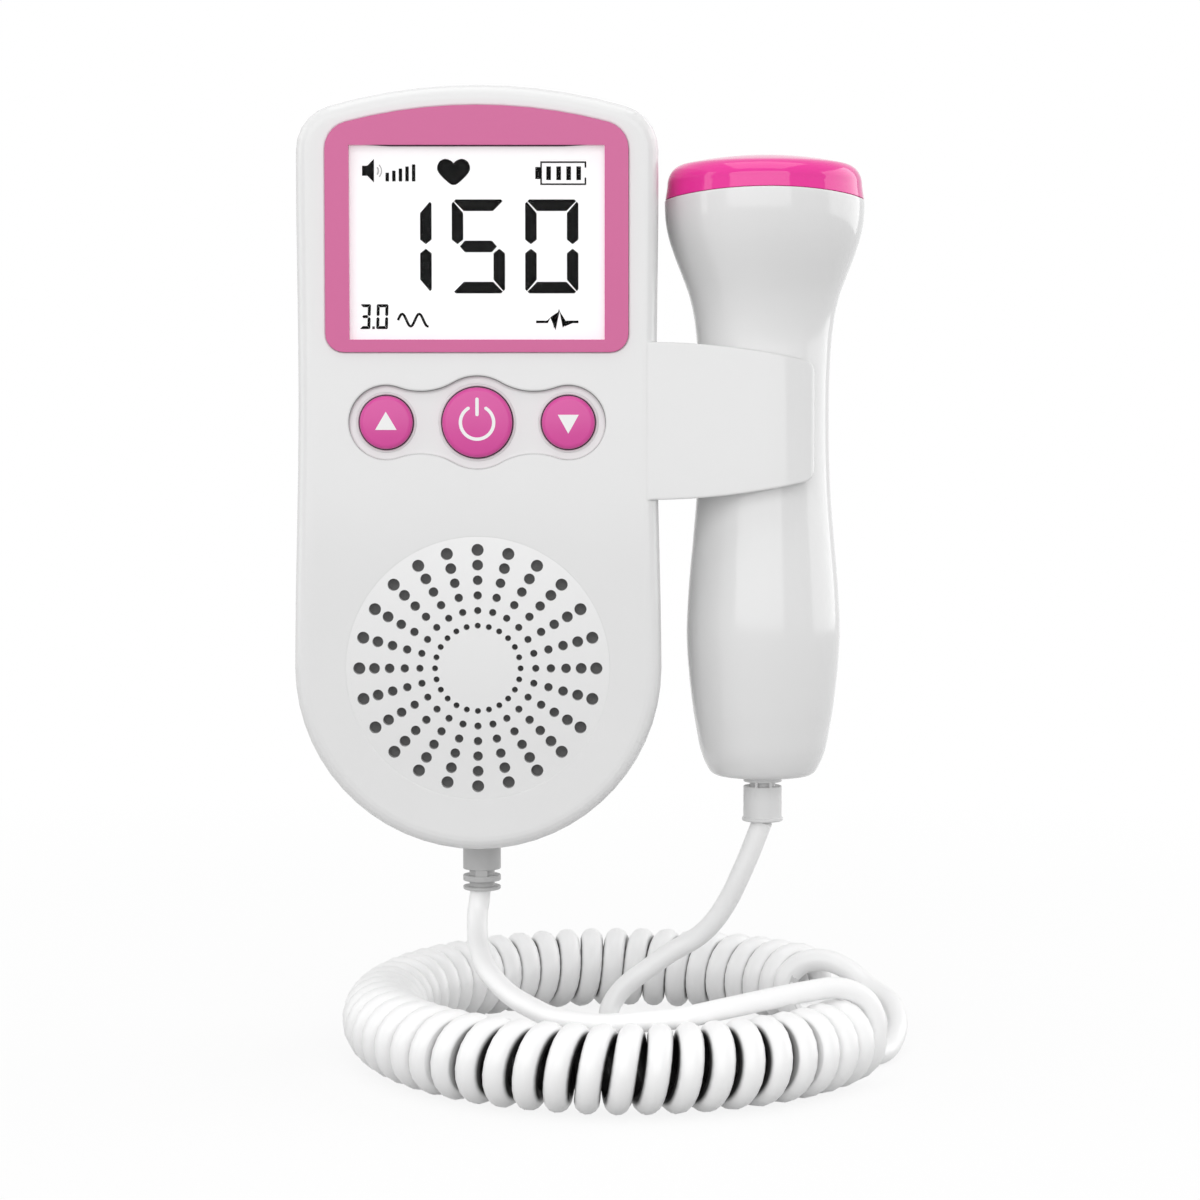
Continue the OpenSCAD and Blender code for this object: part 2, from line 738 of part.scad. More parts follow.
module backlight() {
    color("lightcyan")
        box([-lcd_w / 2, lcd_w / 2], [backlight_y, board_y], [lcd_low_z, lcd_low_z + lcd_h]);
}

module speaker_grille() {
    color("white") difference() {
        union() {
            y_rod(grille_r, face_y, grille_flange_t, 0, low_z);
            y_rod(grille_plug_r, face_y, case_wall, 0, low_z);
        }
        for (i = [0 : grille_spokes - 1], k = [0 : grille_rows - 1]) {
            spot = polar(grille_first_r + k * grille_step, 90 + i * 360 / grille_spokes);
            y_rod(grille_hole_r + k * grille_hole_growth, face_y - 1, case_wall + 2,
                  spot[0], low_z + spot[1]);
        }
    }
}

module speaker_cloth() {
    color("dimgray") y_rod(speaker_r, inner_y, cloth_t, 0, low_z);
}

module speaker() {
    back_r = magnet_r + 2.5;
    cone_d = speaker_d / 2;
    color("gray") translate([0, speaker_y, low_z]) rotate([-90, 0, 0])
        rotate_extrude($fn = fn) polygon([
            [0, 2.4], [2.5, 2.7], [4.5, 4], [speaker_r - 3.5, 0.9], [speaker_r - 2, 0.3],
            [speaker_r - 2, 0], [speaker_r, 0], [speaker_r, speaker_flange_t],
            [speaker_r - 1.5, speaker_flange_t + 0.4], [back_r, cone_d], [magnet_r, cone_d],
            [magnet_r, speaker_d], [0, speaker_d]
        ]);
}

// ---------------------------------------------------------------- buttons

module button(x, r) {
    rim = button_bevel * 0.6;
    color("hotpink") translate([x, 0, button_z]) {
        translate([0, button_front_y, 0]) rotate([-90, 0, 0])
            cylinder(r1 = r - button_bevel, r2 = r, h = rim, $fn = fn);
        y_rod(r, button_front_y + rim, inner_y - button_front_y - rim + touch);
        y_rod(r + flange_lip, inner_y + touch, flange_t);
        y_rod(stem_r, inner_y + touch, stem_y - inner_y - touch);
    }
}

module power_button() { button(0, power_r); }
module volume_up_button() { button(-button_pitch, volume_r); }
module volume_down_button() { button(button_pitch, volume_r); }

module keypad() {
    half_w = button_pitch + stem_r + 1;
    half_h = 2 * stem_r;
    color("lightgray") from_front(board_y - keypad_t, keypad_t)
        round_rect([-half_w, button_z - half_h], [half_w, button_z + half_h], stem_r);
}

// ---------------------------------------------------------------- inside the case

module main_board() {
    half = main_board_w / 2;
    back = board_y + board_t;
    color("seagreen") {
        difference() {
            from_front(board_y, board_t) intersection() {
                polygon(case_outline(case_wall + board_gap));
                translate([-half, main_board_low_z]) square([2 * half, far]);
            }
            post_places() y_rod(board_screw_r + screw_gap, board_y - 1, board_t + 2);
        }
        for (c = chips) box([c[0], c[0] + c[2]], [back - touch, back + c[4]], [c[1], c[1] + c[3]]);
    }
}

// Cell with its nub at the upper end
module cell() {
    z_rod(cell_r, 0, cell_l - nub_l);
    z_rod(nub_r, cell_l - nub_l - touch, nub_l + touch);
}

module battery_left() {
    color("goldenrod") translate([-cell_x, cell_y, bay_low_z + cell_seat]) cell();
}

module battery_right() {
    color("goldenrod") translate([cell_x, cell_y, bay_top_z - cell_seat])
        mirror([0, 0, 1]) cell();
}

// Round wire along points, as one closed solid: each ring is square to the route at its point
function unit(v) = v / norm(v);
function route_at(p, i) = unit(p[min(i + 1, len(p) - 1)] - p[max(i - 1, 0)]);
function level_with(v, t) = unit(v - (v * t) * t);

module wire(points, r, sides) {
    n = len(points);
    t0 = route_at(points, 0);
    start = level_with(abs(t0[1]) < 0.9 ? [0, 1, 0] : [1, 0, 0], t0);
    ups = [for (i = 0, u = start; i < n;
                i = i + 1, u = i < n ? level_with(u, route_at(points, i)) : u) u];
    rings = [for (i = [0 : n - 1]) let (u = ups[i], v = cross(route_at(points, i), u))
        [for (k = [0 : sides - 1]) let (a = 360 * k / sides)
            points[i] + r * (cos(a) * u + sin(a) * v)]];
    walls = [for (i = [0 : n - 2], k = [0 : sides - 1]) let (j = (k + 1) % sides)
        [i * sides + k, (i + 1) * sides + k, (i + 1) * sides + j, i * sides + j]];
    caps = [[for (k = [0 : sides - 1]) k],
            [for (k = [sides - 1 : -1 : 0]) (n - 1) * sides + k]];
    polyhedron([for (ring = rings) each ring], concat(walls, caps), convexity = 10);
}

// Conical spring that stands on z = 0
module contact_spring() {
    wire_r = 0.35;
    low_z = wire_r - touch;
    steps = 36;
    wire([for (i = [0 : steps]) let (t = i / steps, r = 5.5 - 2.5 * t)
        [r * cos(3 * 360 * t), r * sin(3 * 360 * t), low_z + (spring_l - wire_r - low_z) * t]],
        wire_r, 6);
}

module battery_contacts() {
    half = cell_r - 1;
    color("silver") for (side = [-1, 1]) {
        for (z = [bay_low_z, bay_top_z - contact_t])
            box([side * cell_x - half, side * cell_x + half], [cell_y - half, cell_y + half],
                [z, z + contact_t]);
        translate([side * cell_x, cell_y, side < 0 ? bay_low_z + contact_t : bay_top_z - contact_t])
            mirror([0, 0, side < 0 ? 0 : 1]) contact_spring();
    }
}

module headphone_jack() {
    body_l = jack_l - jack_collar_l + 3;
    body_top_z = jack_top_z - jack_collar_l;
    color("dimgray") difference() {
        union() {
            box([jack_x - jack_body / 2, jack_x + jack_body / 2],
                [jack_y - jack_body / 2, jack_y + jack_body / 2],
                [body_top_z - body_l, body_top_z]);
            z_rod(jack_collar_r, body_top_z - touch, jack_collar_l + touch, jack_x, jack_y);
        }
        z_rod(jack_r, jack_top_z - jack_l, jack_l + 1, jack_x, jack_y);
    }
}

module case_screws() {
    color("silver") screw_places() difference() {
        union() {
            y_rod(screw_head_r, screw_seat_y, screw_head_t);
            y_rod(screw_r, screw_tip_y, screw_l + touch);
        }
        for (a = [0, 90]) translate([0, screw_head_y - slot_d, 0]) rotate([0, a, 0])
            translate([-slot_l / 2, 0, -slot_w / 2]) cube([slot_l, 2 * slot_d, slot_w]);
    }
}

module board_screws() {
    back = board_y + board_t;
    color("silver") post_places() {
        y_rod(board_screw_head_r, back, board_screw_head_t);
        y_rod(board_screw_r, board_screw_y, back - board_screw_y + touch);
    }
}

// Strain relief that hangs down from z = 0, with the flange that a housing holds above it.
// neck is the stretch inside the housing, length the stretch below it.
module gland(neck, length) {
    core_r = gland_r - 1;
    lip_h = 0.8;
    low_groove = 0.5;
    band = 1.4;
    groove_z = -length + lip_h + low_groove + band;
    rib_w = 1.8;
    rotate_extrude($fn = fn) polygon([
        [0, -length], [gland_r - 0.5, -length], [gland_r - 0.1, -length + 0.3],
        [gland_r, -length + lip_h], [core_r, -length + lip_h],
        [core_r, -length + lip_h + low_groove], [gland_r, -length + lip_h + low_groove],
        [gland_r, groove_z], [core_r, groove_z], [core_r, groove_z + gland_groove],
        [gland_r, groove_z + gland_groove], [gland_r, neck],
        [gland_flange_r, neck], [gland_flange_r, neck + gland_flange_t],
        [0, neck + gland_flange_t]
    ]);
    translate([-gland_r + touch, -rib_w / 2, groove_z - touch])
        cube([2 * (gland_r - touch), rib_w, gland_groove + 2 * touch]);
}

module monitor_gland() {
    color("gainsboro") translate([0, gland_y, -case_h / 2])
        gland(gland_flange_z + case_h / 2, case_gland_l);
}

// ---------------------------------------------------------------- probe

function smooth(t) = t * t * (3 - 2 * t);
function share(u, from, to) = min(1, max(0, (u - from) / (to - from)));

// Radius of the probe at a height u above its tail
function probe_radius(u) =
    u < tail_round ? tail_r - tail_round + sqrt(tail_round * tail_round - pow(tail_round - u, 2))
    : u < grip_at ? tail_r + (grip_r - tail_r) * sin(90 * pow(share(u, tail_round, grip_at), 0.8))
    : u < neck_at ? grip_r + (neck_r - grip_r) * smooth(share(u, grip_at, neck_at))
    : neck_r + neck_flare * pow(share(u, neck_at, flare_at), 2)
      + (head_r - neck_r - neck_flare) * smooth(share(u, flare_at, head_at));

probe_heights = concat(
    [0, 0.3, 0.9, 1.5], [for (i = [0 : 5]) tail_round + i * (grip_at - tail_round) / 6],
    [for (i = [0 : 7]) grip_at + i * (neck_at - grip_at) / 8],
    [for (i = [0 : 2]) neck_at + i * (flare_at - neck_at) / 3],
    [for (i = [0 : 9]) flare_at + i * (head_at - flare_at) / 9]);

// Half section of the probe, pulled in by a wall; the hollow runs on through the open head
module probe_section(wall, top) {
    low = wall;
    polygon(concat(
        [[0, low], if (wall > 0) [tail_r - wall, low]],
        [for (u = probe_heights) if (u >= low + 0.2 * wall) [probe_radius(u) - wall, u]],
        [[head_r - wall, top], [0, top]]));
}

module probe_tube() {
    translate([probe_x, probe_y, probe_low_z]) difference() {
        rotate_extrude($fn = 2 * fn) probe_section(0, head_seam_z);
        rotate_extrude($fn = 2 * fn) probe_section(probe_wall, head_seam_z + 1);
        z_rod(gland_r + touch, -1, probe_wall + 2);
    }
}

module probe_front_shell() {
    color("white") intersection() {
        probe_tube();
        box([0, far], [probe_y - head_r - 1, probe_y], [-far, far]);
    }
}

// Rear half, with the posts that the board is fixed to
module probe_rear_shell() {
    color("white") union() {
        intersection() {
            probe_tube();
            box([0, far], [probe_y, probe_y + head_r + 1], [-far, far]);
        }
        for (u = [probe_board_at + 6, probe_board_at + probe_board_l - 6])
            y_rod(probe_post_r, probe_y + board_t / 2,
                  probe_radius(u) - probe_wall / 2 - board_t / 2, probe_x, probe_low_z + u);
    }
}

module probe_board() {
    low = probe_low_z + probe_board_at;
    front = probe_y - board_t / 2;
    color("seagreen") {
        box([probe_x - probe_board_w / 2, probe_x + probe_board_w / 2],
            [front, front + board_t], [low, low + probe_board_l]);
        for (c = probe_chips)
            box([probe_x + c[0], probe_x + c[0] + c[2]], [front - c[4], front + touch],
                [low + c[1], low + c[1] + c[3]]);
    }
}

// Cap of the head: its side leans in, a round shoulder leads to a slightly domed crown
module cap_section() {
    side_r = head_r - cap_taper;
    shoulder_x = side_r - cap_shoulder_r;
    crown_z = cap_h - cap_crown_r;
    shoulder_z = crown_z + sqrt(pow(cap_crown_r - cap_shoulder_r, 2) - shoulder_x * shoulder_x);
    end_a = atan2(shoulder_z - crown_z, shoulder_x);
    polygon(concat(
        [[0, 0], [head_r, 0]],
        [for (t = [0 : 0.125 : 1]) [shoulder_x, shoulder_z] + polar(cap_shoulder_r, end_a * t)],
        [for (t = [0.2 : 0.2 : 1]) [0, crown_z] + polar(cap_crown_r, end_a + (90 - end_a) * t)]));
}

module probe_cap() {
    color("deeppink") translate([probe_x, probe_y, probe_low_z + head_seam_z]) difference() {
        union() {
            rotate_extrude($fn = 2 * fn) cap_section();
            z_rod(skirt_r, -cap_skirt_l, cap_skirt_l + touch);
        }
        z_rod(skirt_r - cap_wall, -cap_skirt_l - 1, cap_skirt_l + 1 + cap_hollow_h);
    }
}

module transducer() {
    color("goldenrod") z_rod(crystal_r, probe_low_z + head_seam_z + cap_hollow_h - crystal_t,
                             crystal_t, probe_x, probe_y);
}

module transducer_backing() {
    top = probe_low_z + head_seam_z + cap_hollow_h - crystal_t;
    color("dimgray") z_rod(crystal_r, top - backing_t, backing_t, probe_x, probe_y);
}

module probe_gland() {
    color("gainsboro") translate([probe_x, probe_y, probe_low_z])
        gland(probe_wall + touch, probe_gland_l);
}

// ---------------------------------------------------------------- cord

module cord_monitor_lead() {
    color("white") wire(monitor_lead, cord_d / 2, 8);
}

module cord_coil() {
    color("white") wire([
        for (i = [0 : ring_steps]) let (a = ring_from + (ring_to - ring_from) * i / ring_steps)
            [ring_x + ring_rx * cos(a), ring_y + ring_ry * sin(a), ring_z]
    ], curl_d / 2, 12);
}

module cord_probe_lead() {
    color("white") wire(probe_lead, cord_d / 2, 8);
}

front_shell();
rear_shell();
battery_door();
display_bezel();
display_window();
lcd_panel();
backlight();
speaker_grille();
speaker_cloth();
speaker();
power_button();
volume_up_button();
volume_down_button();
keypad();
main_board();
battery_left();
battery_right();
battery_contacts();
headphone_jack();
case_screws();
board_screws();
monitor_gland();
probe_front_shell();
probe_rear_shell();
probe_cap();
transducer();
transducer_backing();
probe_board();
probe_gland();
cord_monitor_lead();
cord_coil();
cord_probe_lead();
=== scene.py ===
"""Looks of a handheld fetal doppler monitor: a white case with a pink display frame, a probe in
its side holder and a curly cord. Sizes are in millimetres and are turned into metres as meshes
are made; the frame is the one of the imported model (+Z up, the face looks along -Y)."""

import json
import math

import bmesh
import bpy
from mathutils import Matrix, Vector


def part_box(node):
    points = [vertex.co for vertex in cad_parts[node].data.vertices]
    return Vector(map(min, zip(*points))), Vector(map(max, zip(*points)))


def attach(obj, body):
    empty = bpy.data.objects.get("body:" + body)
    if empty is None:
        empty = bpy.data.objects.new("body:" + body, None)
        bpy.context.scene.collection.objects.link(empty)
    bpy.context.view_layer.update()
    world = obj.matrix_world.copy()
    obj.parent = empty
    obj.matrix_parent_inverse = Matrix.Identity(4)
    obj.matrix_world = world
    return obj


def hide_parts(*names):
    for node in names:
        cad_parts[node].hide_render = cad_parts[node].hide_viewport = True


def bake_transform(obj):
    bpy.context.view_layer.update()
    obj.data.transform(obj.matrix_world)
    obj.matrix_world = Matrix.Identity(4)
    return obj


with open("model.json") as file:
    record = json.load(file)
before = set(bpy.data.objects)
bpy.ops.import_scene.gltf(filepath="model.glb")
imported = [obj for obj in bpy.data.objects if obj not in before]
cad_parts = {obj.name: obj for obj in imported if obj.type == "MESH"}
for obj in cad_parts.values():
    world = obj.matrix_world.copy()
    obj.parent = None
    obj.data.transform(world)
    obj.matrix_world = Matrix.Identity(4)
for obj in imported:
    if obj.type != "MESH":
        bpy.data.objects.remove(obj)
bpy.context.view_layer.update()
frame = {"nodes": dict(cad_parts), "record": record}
nodes = frame["nodes"]
MM = 0.001


def box_mm(node):
    """Lowest and highest corner of a CAD node, in millimetres."""
    low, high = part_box(node)
    return low / MM, high / MM


# ---------------------------------------------------------------- sizes, in millimetres

FACE_Y = box_mm("front_shell")[0].y
GLAND_LOW, GLAND_HIGH = box_mm("monitor_gland")
GLAND_X = (GLAND_LOW.x + GLAND_HIGH.x) / 2
PROBE_GLAND_LOW, PROBE_GLAND_HIGH = box_mm("probe_gland")
PROBE_X = (PROBE_GLAND_LOW.x + PROBE_GLAND_HIGH.x) / 2
PROBE_Y = (PROBE_GLAND_LOW.y + PROBE_GLAND_HIGH.y) / 2
FLOOR_Z = box_mm("cord_coil")[0].z

# Smooth skin of the probe: radius at each height. Its seam with the cap rises by the wave at the
# front and the back, sinks by it at the sides, and fades out at the two heights.
PROBE_PROFILE = [
    (-55.95, 7.9), (-55.75, 8.8), (-55.1, 9.65), (-53.5, 10.55), (-51.8, 11.2), (-50.1, 11.65),
    (-46.8, 12.25), (-43.5, 12.8), (-38.6, 13.38), (-34, 13.78), (-29.5, 13.95), (-24, 13.75),
    (-18.8, 13.38), (-13.9, 12.93), (-9, 12.5), (-5.5, 12.22), (0, 11.95), (6, 11.8),
    (12, 11.78), (17, 11.88), (22, 12.12), (25.1, 12.4), (28.4, 12.9), (31.6, 13.7),
    (34.9, 14.92), (38.1, 16.15), (41.4, 17.2), (44.6, 17.82), (47.2, 18.02), (48.9, 18.05),
]
SEAM_Z = 49.15
SEAM_WAVE = 0.7
SEAM_FADE = (38, 54)
SEAM_R = (18.0, 17.88)
CAP_RIM_R = 17.75
CAP_TOP_Z = 56.5
CAP_R = 17.95
CAP_SIDE_R = 17.6
CAP_SHOULDER_R = 3.6
CAP_CROWN_R = 68

CORD_D = 3.8
CURL_D = 15.5
CURL_WIRE_D = 4.5
RING_CENTRE = Vector((26.3, -14, -101.05))
RING_RX = 44.5
RING_RY = 48
RING_FROM = -28
RING_TO = -324
CURL_FROM = 90
CURL_TO = -60
CURL_TURNS = 48
POINTS_PER_TURN = 20
LEAD_STEPS = 6
# Points of the last turn in which the strand lies, and over how many its thickness settles
STRAND_OVERLAP = 6
STRAND_SETTLES = 30
STRAND_THINNER = 0.01
# Painted shade between the turns of the curl: distance from the middle of the curl at which the
# jacket is painted dark, and at which the painted shade is gone
GAP_DARK = 5.6
GAP_LIGHT = 6.6
# How far beside the middle of the ring the painted shade in the gaps starts to fade, and is gone
GAP_FADE = (24, 36)
# Where the last turn opens into the strand: angle along the ring, angle round the turn
UNWIND = [(33.8, -25), (30.5, 10), (26.5, 45)]

MONITOR_LEAD = [
    (GLAND_X - 0.3, -17, GLAND_LOW.z + 0.4), (GLAND_X - 0.5, -17, -79.5), (-0.8, -17.6, -81.6),
    (-0.8, -19.5, -84.5), (-0.3, -23, -87.2),
    (1, -28, -89.8), (3.4, -33, -91.8), (6.4, -38, -93.4), (10.1, -43, -94.5),
    (14, -48, -95.1), (22, -54, -95), (29, -55, -94.3), (36, -54.5, -93.7),
    (43, -52, -92.7), (50, -48, -92), (57.5, -43.4, -91.4), (63, -40.4, -91.2),
    (66.7, -39.2, -92.2), (69.4, -38.8, -94.3), (70.6, -38.8, -97.6),
]
PROBE_LEAD = [
    (73.1, 6, -99.7), (76.7, -1, -101.3),
    (77.5, -8, -104), (76, -14.5, -106.2), (73.4, -21.5, -106.85), (68.6, -25.6, -106.85),
    (62, -26.6, -106.85), (55, -26.2, -106.85), (48, -25, -106.85), (41, -23, -106.85),
    (34.5, -20.5, -106.85), (29, -17.5, -106.85), (25.2, -14, -106), (23.4, -11.3, -103.5),
    (23.8, -9.6, -100.3), (26.5, -9, -96.8), (30.5, -9.5, -93.6), (35, -10.5, -90.2),
    (39.9, -12, -87), (43, -13.6, -83.6), (45.4, -15.1, -79.6), (47.2, -16.4, -75.6),
    (48.9, -17.5, -71.4), (50.3, -18.3, -67.6), (PROBE_X, PROBE_Y, PROBE_GLAND_LOW.z - 0.05),
]

GRILLE_LOW, GRILLE_HIGH = box_mm("speaker_grille")
GRILLE_Z = (GRILLE_LOW.z + GRILLE_HIGH.z) / 2
GRILLE_X = (GRILLE_LOW.x + GRILLE_HIGH.x) / 2
GRILLE_R = 23.2

GLAND_LIP = 0.7
GLAND_CORE_DEPTH = 1.15

RECESS_DEPTH = 0.7
BUTTON_R = {"power": 6.18, "volume_up": 4.68, "volume_down": 4.68}
LOBE_R = {"power": 8.25, "volume_up": 6.6}
BUTTON_GAP = 0.24
# Edge of a button: depth behind its front, and how far inside its outline
BUTTON_EDGE = ((0, 0.75), (0.05, 0.55), (0.2, 0.25), (0.45, 0.06), (0.7, 0))
RECESS_BLEND_R = 11.5

CAMERA_PLACE = Vector((21.7, -574, 10.65))
CAMERA_PITCH = 3.5635
CAMERA_LENS = 91.525
CAMERA_SENSOR = 36

WORLD_LEVEL = 0.4
FLOOR_HALF = 3000
FLOOR_DROP = 0.1
# Tone of the floor for plain light, and as it is seen
FLOOR_TONES = (0.42, 0.95)
# Where the floor's shadow starts to fade and is gone, in metres from the origin
FLOOR_FADE = (0.12, 0.4)
FLOOR_GLOW = 0.86

# ---------------------------------------------------------------- mesh helpers


def link(name, points, faces, smooth=30):
    """New mesh object from points in millimetres, with outward normals, smooth by angle."""
    mesh = bpy.data.meshes.new(name)
    bm = bmesh.new()
    verts = [bm.verts.new(Vector(p) * MM) for p in points]
    for face in faces:
        bm.faces.new([verts[i] for i in face])
    bmesh.ops.recalc_face_normals(bm, faces=bm.faces)
    bm.to_mesh(mesh)
    bm.free()
    shade(mesh, smooth)
    obj = bpy.data.objects.new(name, mesh)
    bpy.context.scene.collection.objects.link(obj)
    return obj


def shade(mesh, angle=30):
    """Smooth shading, apart from edges sharper than the angle."""
    mesh.shade_smooth()
    mesh.set_sharp_from_angle(angle=math.radians(angle))


def loft(name, rings, smooth=30):
    """Closed skin through rings with the same number of points, capped at both ends."""
    n = len(rings[0])
    faces = [
        (k * n + i, k * n + (i + 1) % n, (k + 1) * n + (i + 1) % n, (k + 1) * n + i)
        for k in range(len(rings) - 1) for i in range(n)
    ]
    faces.append(tuple(reversed(range(n))))
    faces.append(tuple(range((len(rings) - 1) * n, len(rings) * n)))
    return link(name, [p for ring in rings for p in ring], faces, smooth)


def turned(name, profile, x, y, sides=96, wave=None):
    """Closed solid of revolution about a vertical axis, from (height, radius) points."""
    rings = []
    for z, r in profile:
        ring = []
        for k in range(sides):
            a = 2 * math.pi * k / sides
            lift = wave(z, a) if wave else 0
            ring.append((x + r * math.cos(a), y + r * math.sin(a), z + lift))
        rings.append(ring)
    return loft(name, rings)


# ---------------------------------------------------------------- curves


def ease(t):
    """Smooth step from zero to one, held beyond both."""
    t = min(1, max(0, t))
    return t * t * (3 - 2 * t)


def through(points, steps):
    """Catmull-Rom curve through points, with so many steps to each stretch."""
    pts = [Vector(p) for p in points]
    pts = [2 * pts[0] - pts[1]] + pts + [2 * pts[-1] - pts[-2]]
    curve = []
    for a, b, c, d in zip(pts, pts[1:], pts[2:], pts[3:]):
        for i in range(steps):
            t = i / steps
            curve.append(0.5 * (2 * b + (c - a) * t + (2 * a - 5 * b + 4 * c - d) * t * t
                                + (3 * b - a - 3 * c + d) * t ** 3))
    return curve + [pts[-2]]


def ring_point(angle):
    """Point of the middle of the curl at an angle along the ring, in degrees."""
    a = math.radians(angle)
    return RING_CENTRE + Vector((RING_RX * math.cos(a), RING_RY * math.sin(a), 0))


def ring_outward(angle):
    """Direction away from the ring's middle, square to its oval."""
    a = math.radians(angle)
    return Vector((math.cos(a) / RING_RX, math.sin(a) / RING_RY, 0)).normalized()


def turn_point(angle, turn):
    """Point of the curl at an angle along the ring and an angle round the turn."""
    a = math.radians(turn)
    reach = (CURL_D - CURL_WIRE_D) / 2
    return ring_point(angle) + reach * (
        math.cos(a) * Vector((0, 0, 1)) + math.sin(a) * ring_outward(angle))


def helix():
    """Turns of the curly stretch, evenly spaced along the oval."""
    fine = [RING_FROM + (RING_TO - RING_FROM) * i / 720 for i in range(721)]
    run = [0.0]
    for a, b in zip(fine, fine[1:]):
        run.append(run[-1] + (ring_point(b) - ring_point(a)).length)
    count = CURL_TURNS * POINTS_PER_TURN
    points = []
    k = 0
    for i in range(count + 1):
        along = run[-1] * i / count
        while k < len(run) - 2 and run[k + 1] < along:
            k += 1
        angle = fine[k] + (fine[k + 1] - fine[k]) * (along - run[k]) / (run[k + 1] - run[k])
        turn = CURL_FROM + (360 * CURL_TURNS + CURL_TO - CURL_FROM) * i / count
        points.append(turn_point(angle, turn))
    return points


def cord_curve(name, points, diameter, widths):
    """Curve object of one open spline, in metres; each point has its share of the diameter."""
    data = bpy.data.curves.new(name, "CURVE")
    data.dimensions = "3D"
    data.bevel_depth = diameter / 2 * MM
    data.bevel_resolution = 5
    data.use_fill_caps = True
    spline = data.splines.new("POLY")
    spline.points.add(len(points) - 1)
    for point, place, width in zip(spline.points, points, widths):
        point.co = (*(place * MM), 1)
        point.radius = width
    spline.use_smooth = True
    obj = bpy.data.objects.new(name, data)
    bpy.context.scene.collection.objects.link(obj)
    return obj


def tube(name, points, radii, sides=24):
    """Mesh tube whose rings are square to the route, with a radius for each point."""
    ahead = [(points[min(i + 1, len(points) - 1)] - points[max(i - 1, 0)]).normalized()
             for i in range(len(points))]
    up = ahead[0].orthogonal().normalized()
    rings = []
    for place, way, radius in zip(points, ahead, radii):
        up = (up - up.dot(way) * way).normalized()
        side = way.cross(up)
        rings.append([place + radius * (math.cos(a) * up + math.sin(a) * side)
                      for a in (2 * math.pi * k / sides for k in range(sides))])
    return loft(name, rings, smooth=60)


# ---------------------------------------------------------------- materials


def plastic(name, colour, roughness=0.3, bump=0.0, grain=900, sheen=0.0):
    """Moulded plastic or rubber: a faint mottle in the colour and roughness, and fine grain."""
    material = bpy.data.materials.new(name)
    material.use_nodes = True
    tree = material.node_tree
    shader = tree.nodes["Principled BSDF"]
    shader.inputs["Sheen Weight"].default_value = sheen
    place = tree.nodes.new("ShaderNodeTexCoord")
    mottle = tree.nodes.new("ShaderNodeTexNoise")
    mottle.inputs["Scale"].default_value = 60
    mottle.inputs["Detail"].default_value = 3
    tree.links.new(place.outputs["Object"], mottle.inputs["Vector"])
    tint = tree.nodes.new("ShaderNodeMix")
    tint.data_type = "RGBA"
    tint.inputs["A"].default_value = (*[c * 0.985 for c in colour], 1)
    tint.inputs["B"].default_value = (*[min(1, c * 1.01) for c in colour], 1)
    tree.links.new(mottle.outputs["Fac"], tint.inputs["Factor"])
    tree.links.new(tint.outputs["Result"], shader.inputs["Base Color"])
    rough = tree.nodes.new("ShaderNodeMapRange")
    rough.inputs["To Min"].default_value = roughness * 0.92
    rough.inputs["To Max"].default_value = roughness * 1.08
    tree.links.new(mottle.outputs["Fac"], rough.inputs["Value"])
    tree.links.new(rough.outputs["Result"], shader.inputs["Roughness"])
    if bump:
        fine = tree.nodes.new("ShaderNodeTexNoise")
        fine.inputs["Scale"].default_value = grain
        relief = tree.nodes.new("ShaderNodeBump")
        relief.inputs["Strength"].default_value = bump
        relief.inputs["Distance"].default_value = 0.1 * MM
        tree.links.new(place.outputs["Object"], fine.inputs["Vector"])
        tree.links.new(fine.outputs["Fac"], relief.inputs["Height"])
        tree.links.new(relief.outputs["Normal"], shader.inputs["Normal"])
    return material


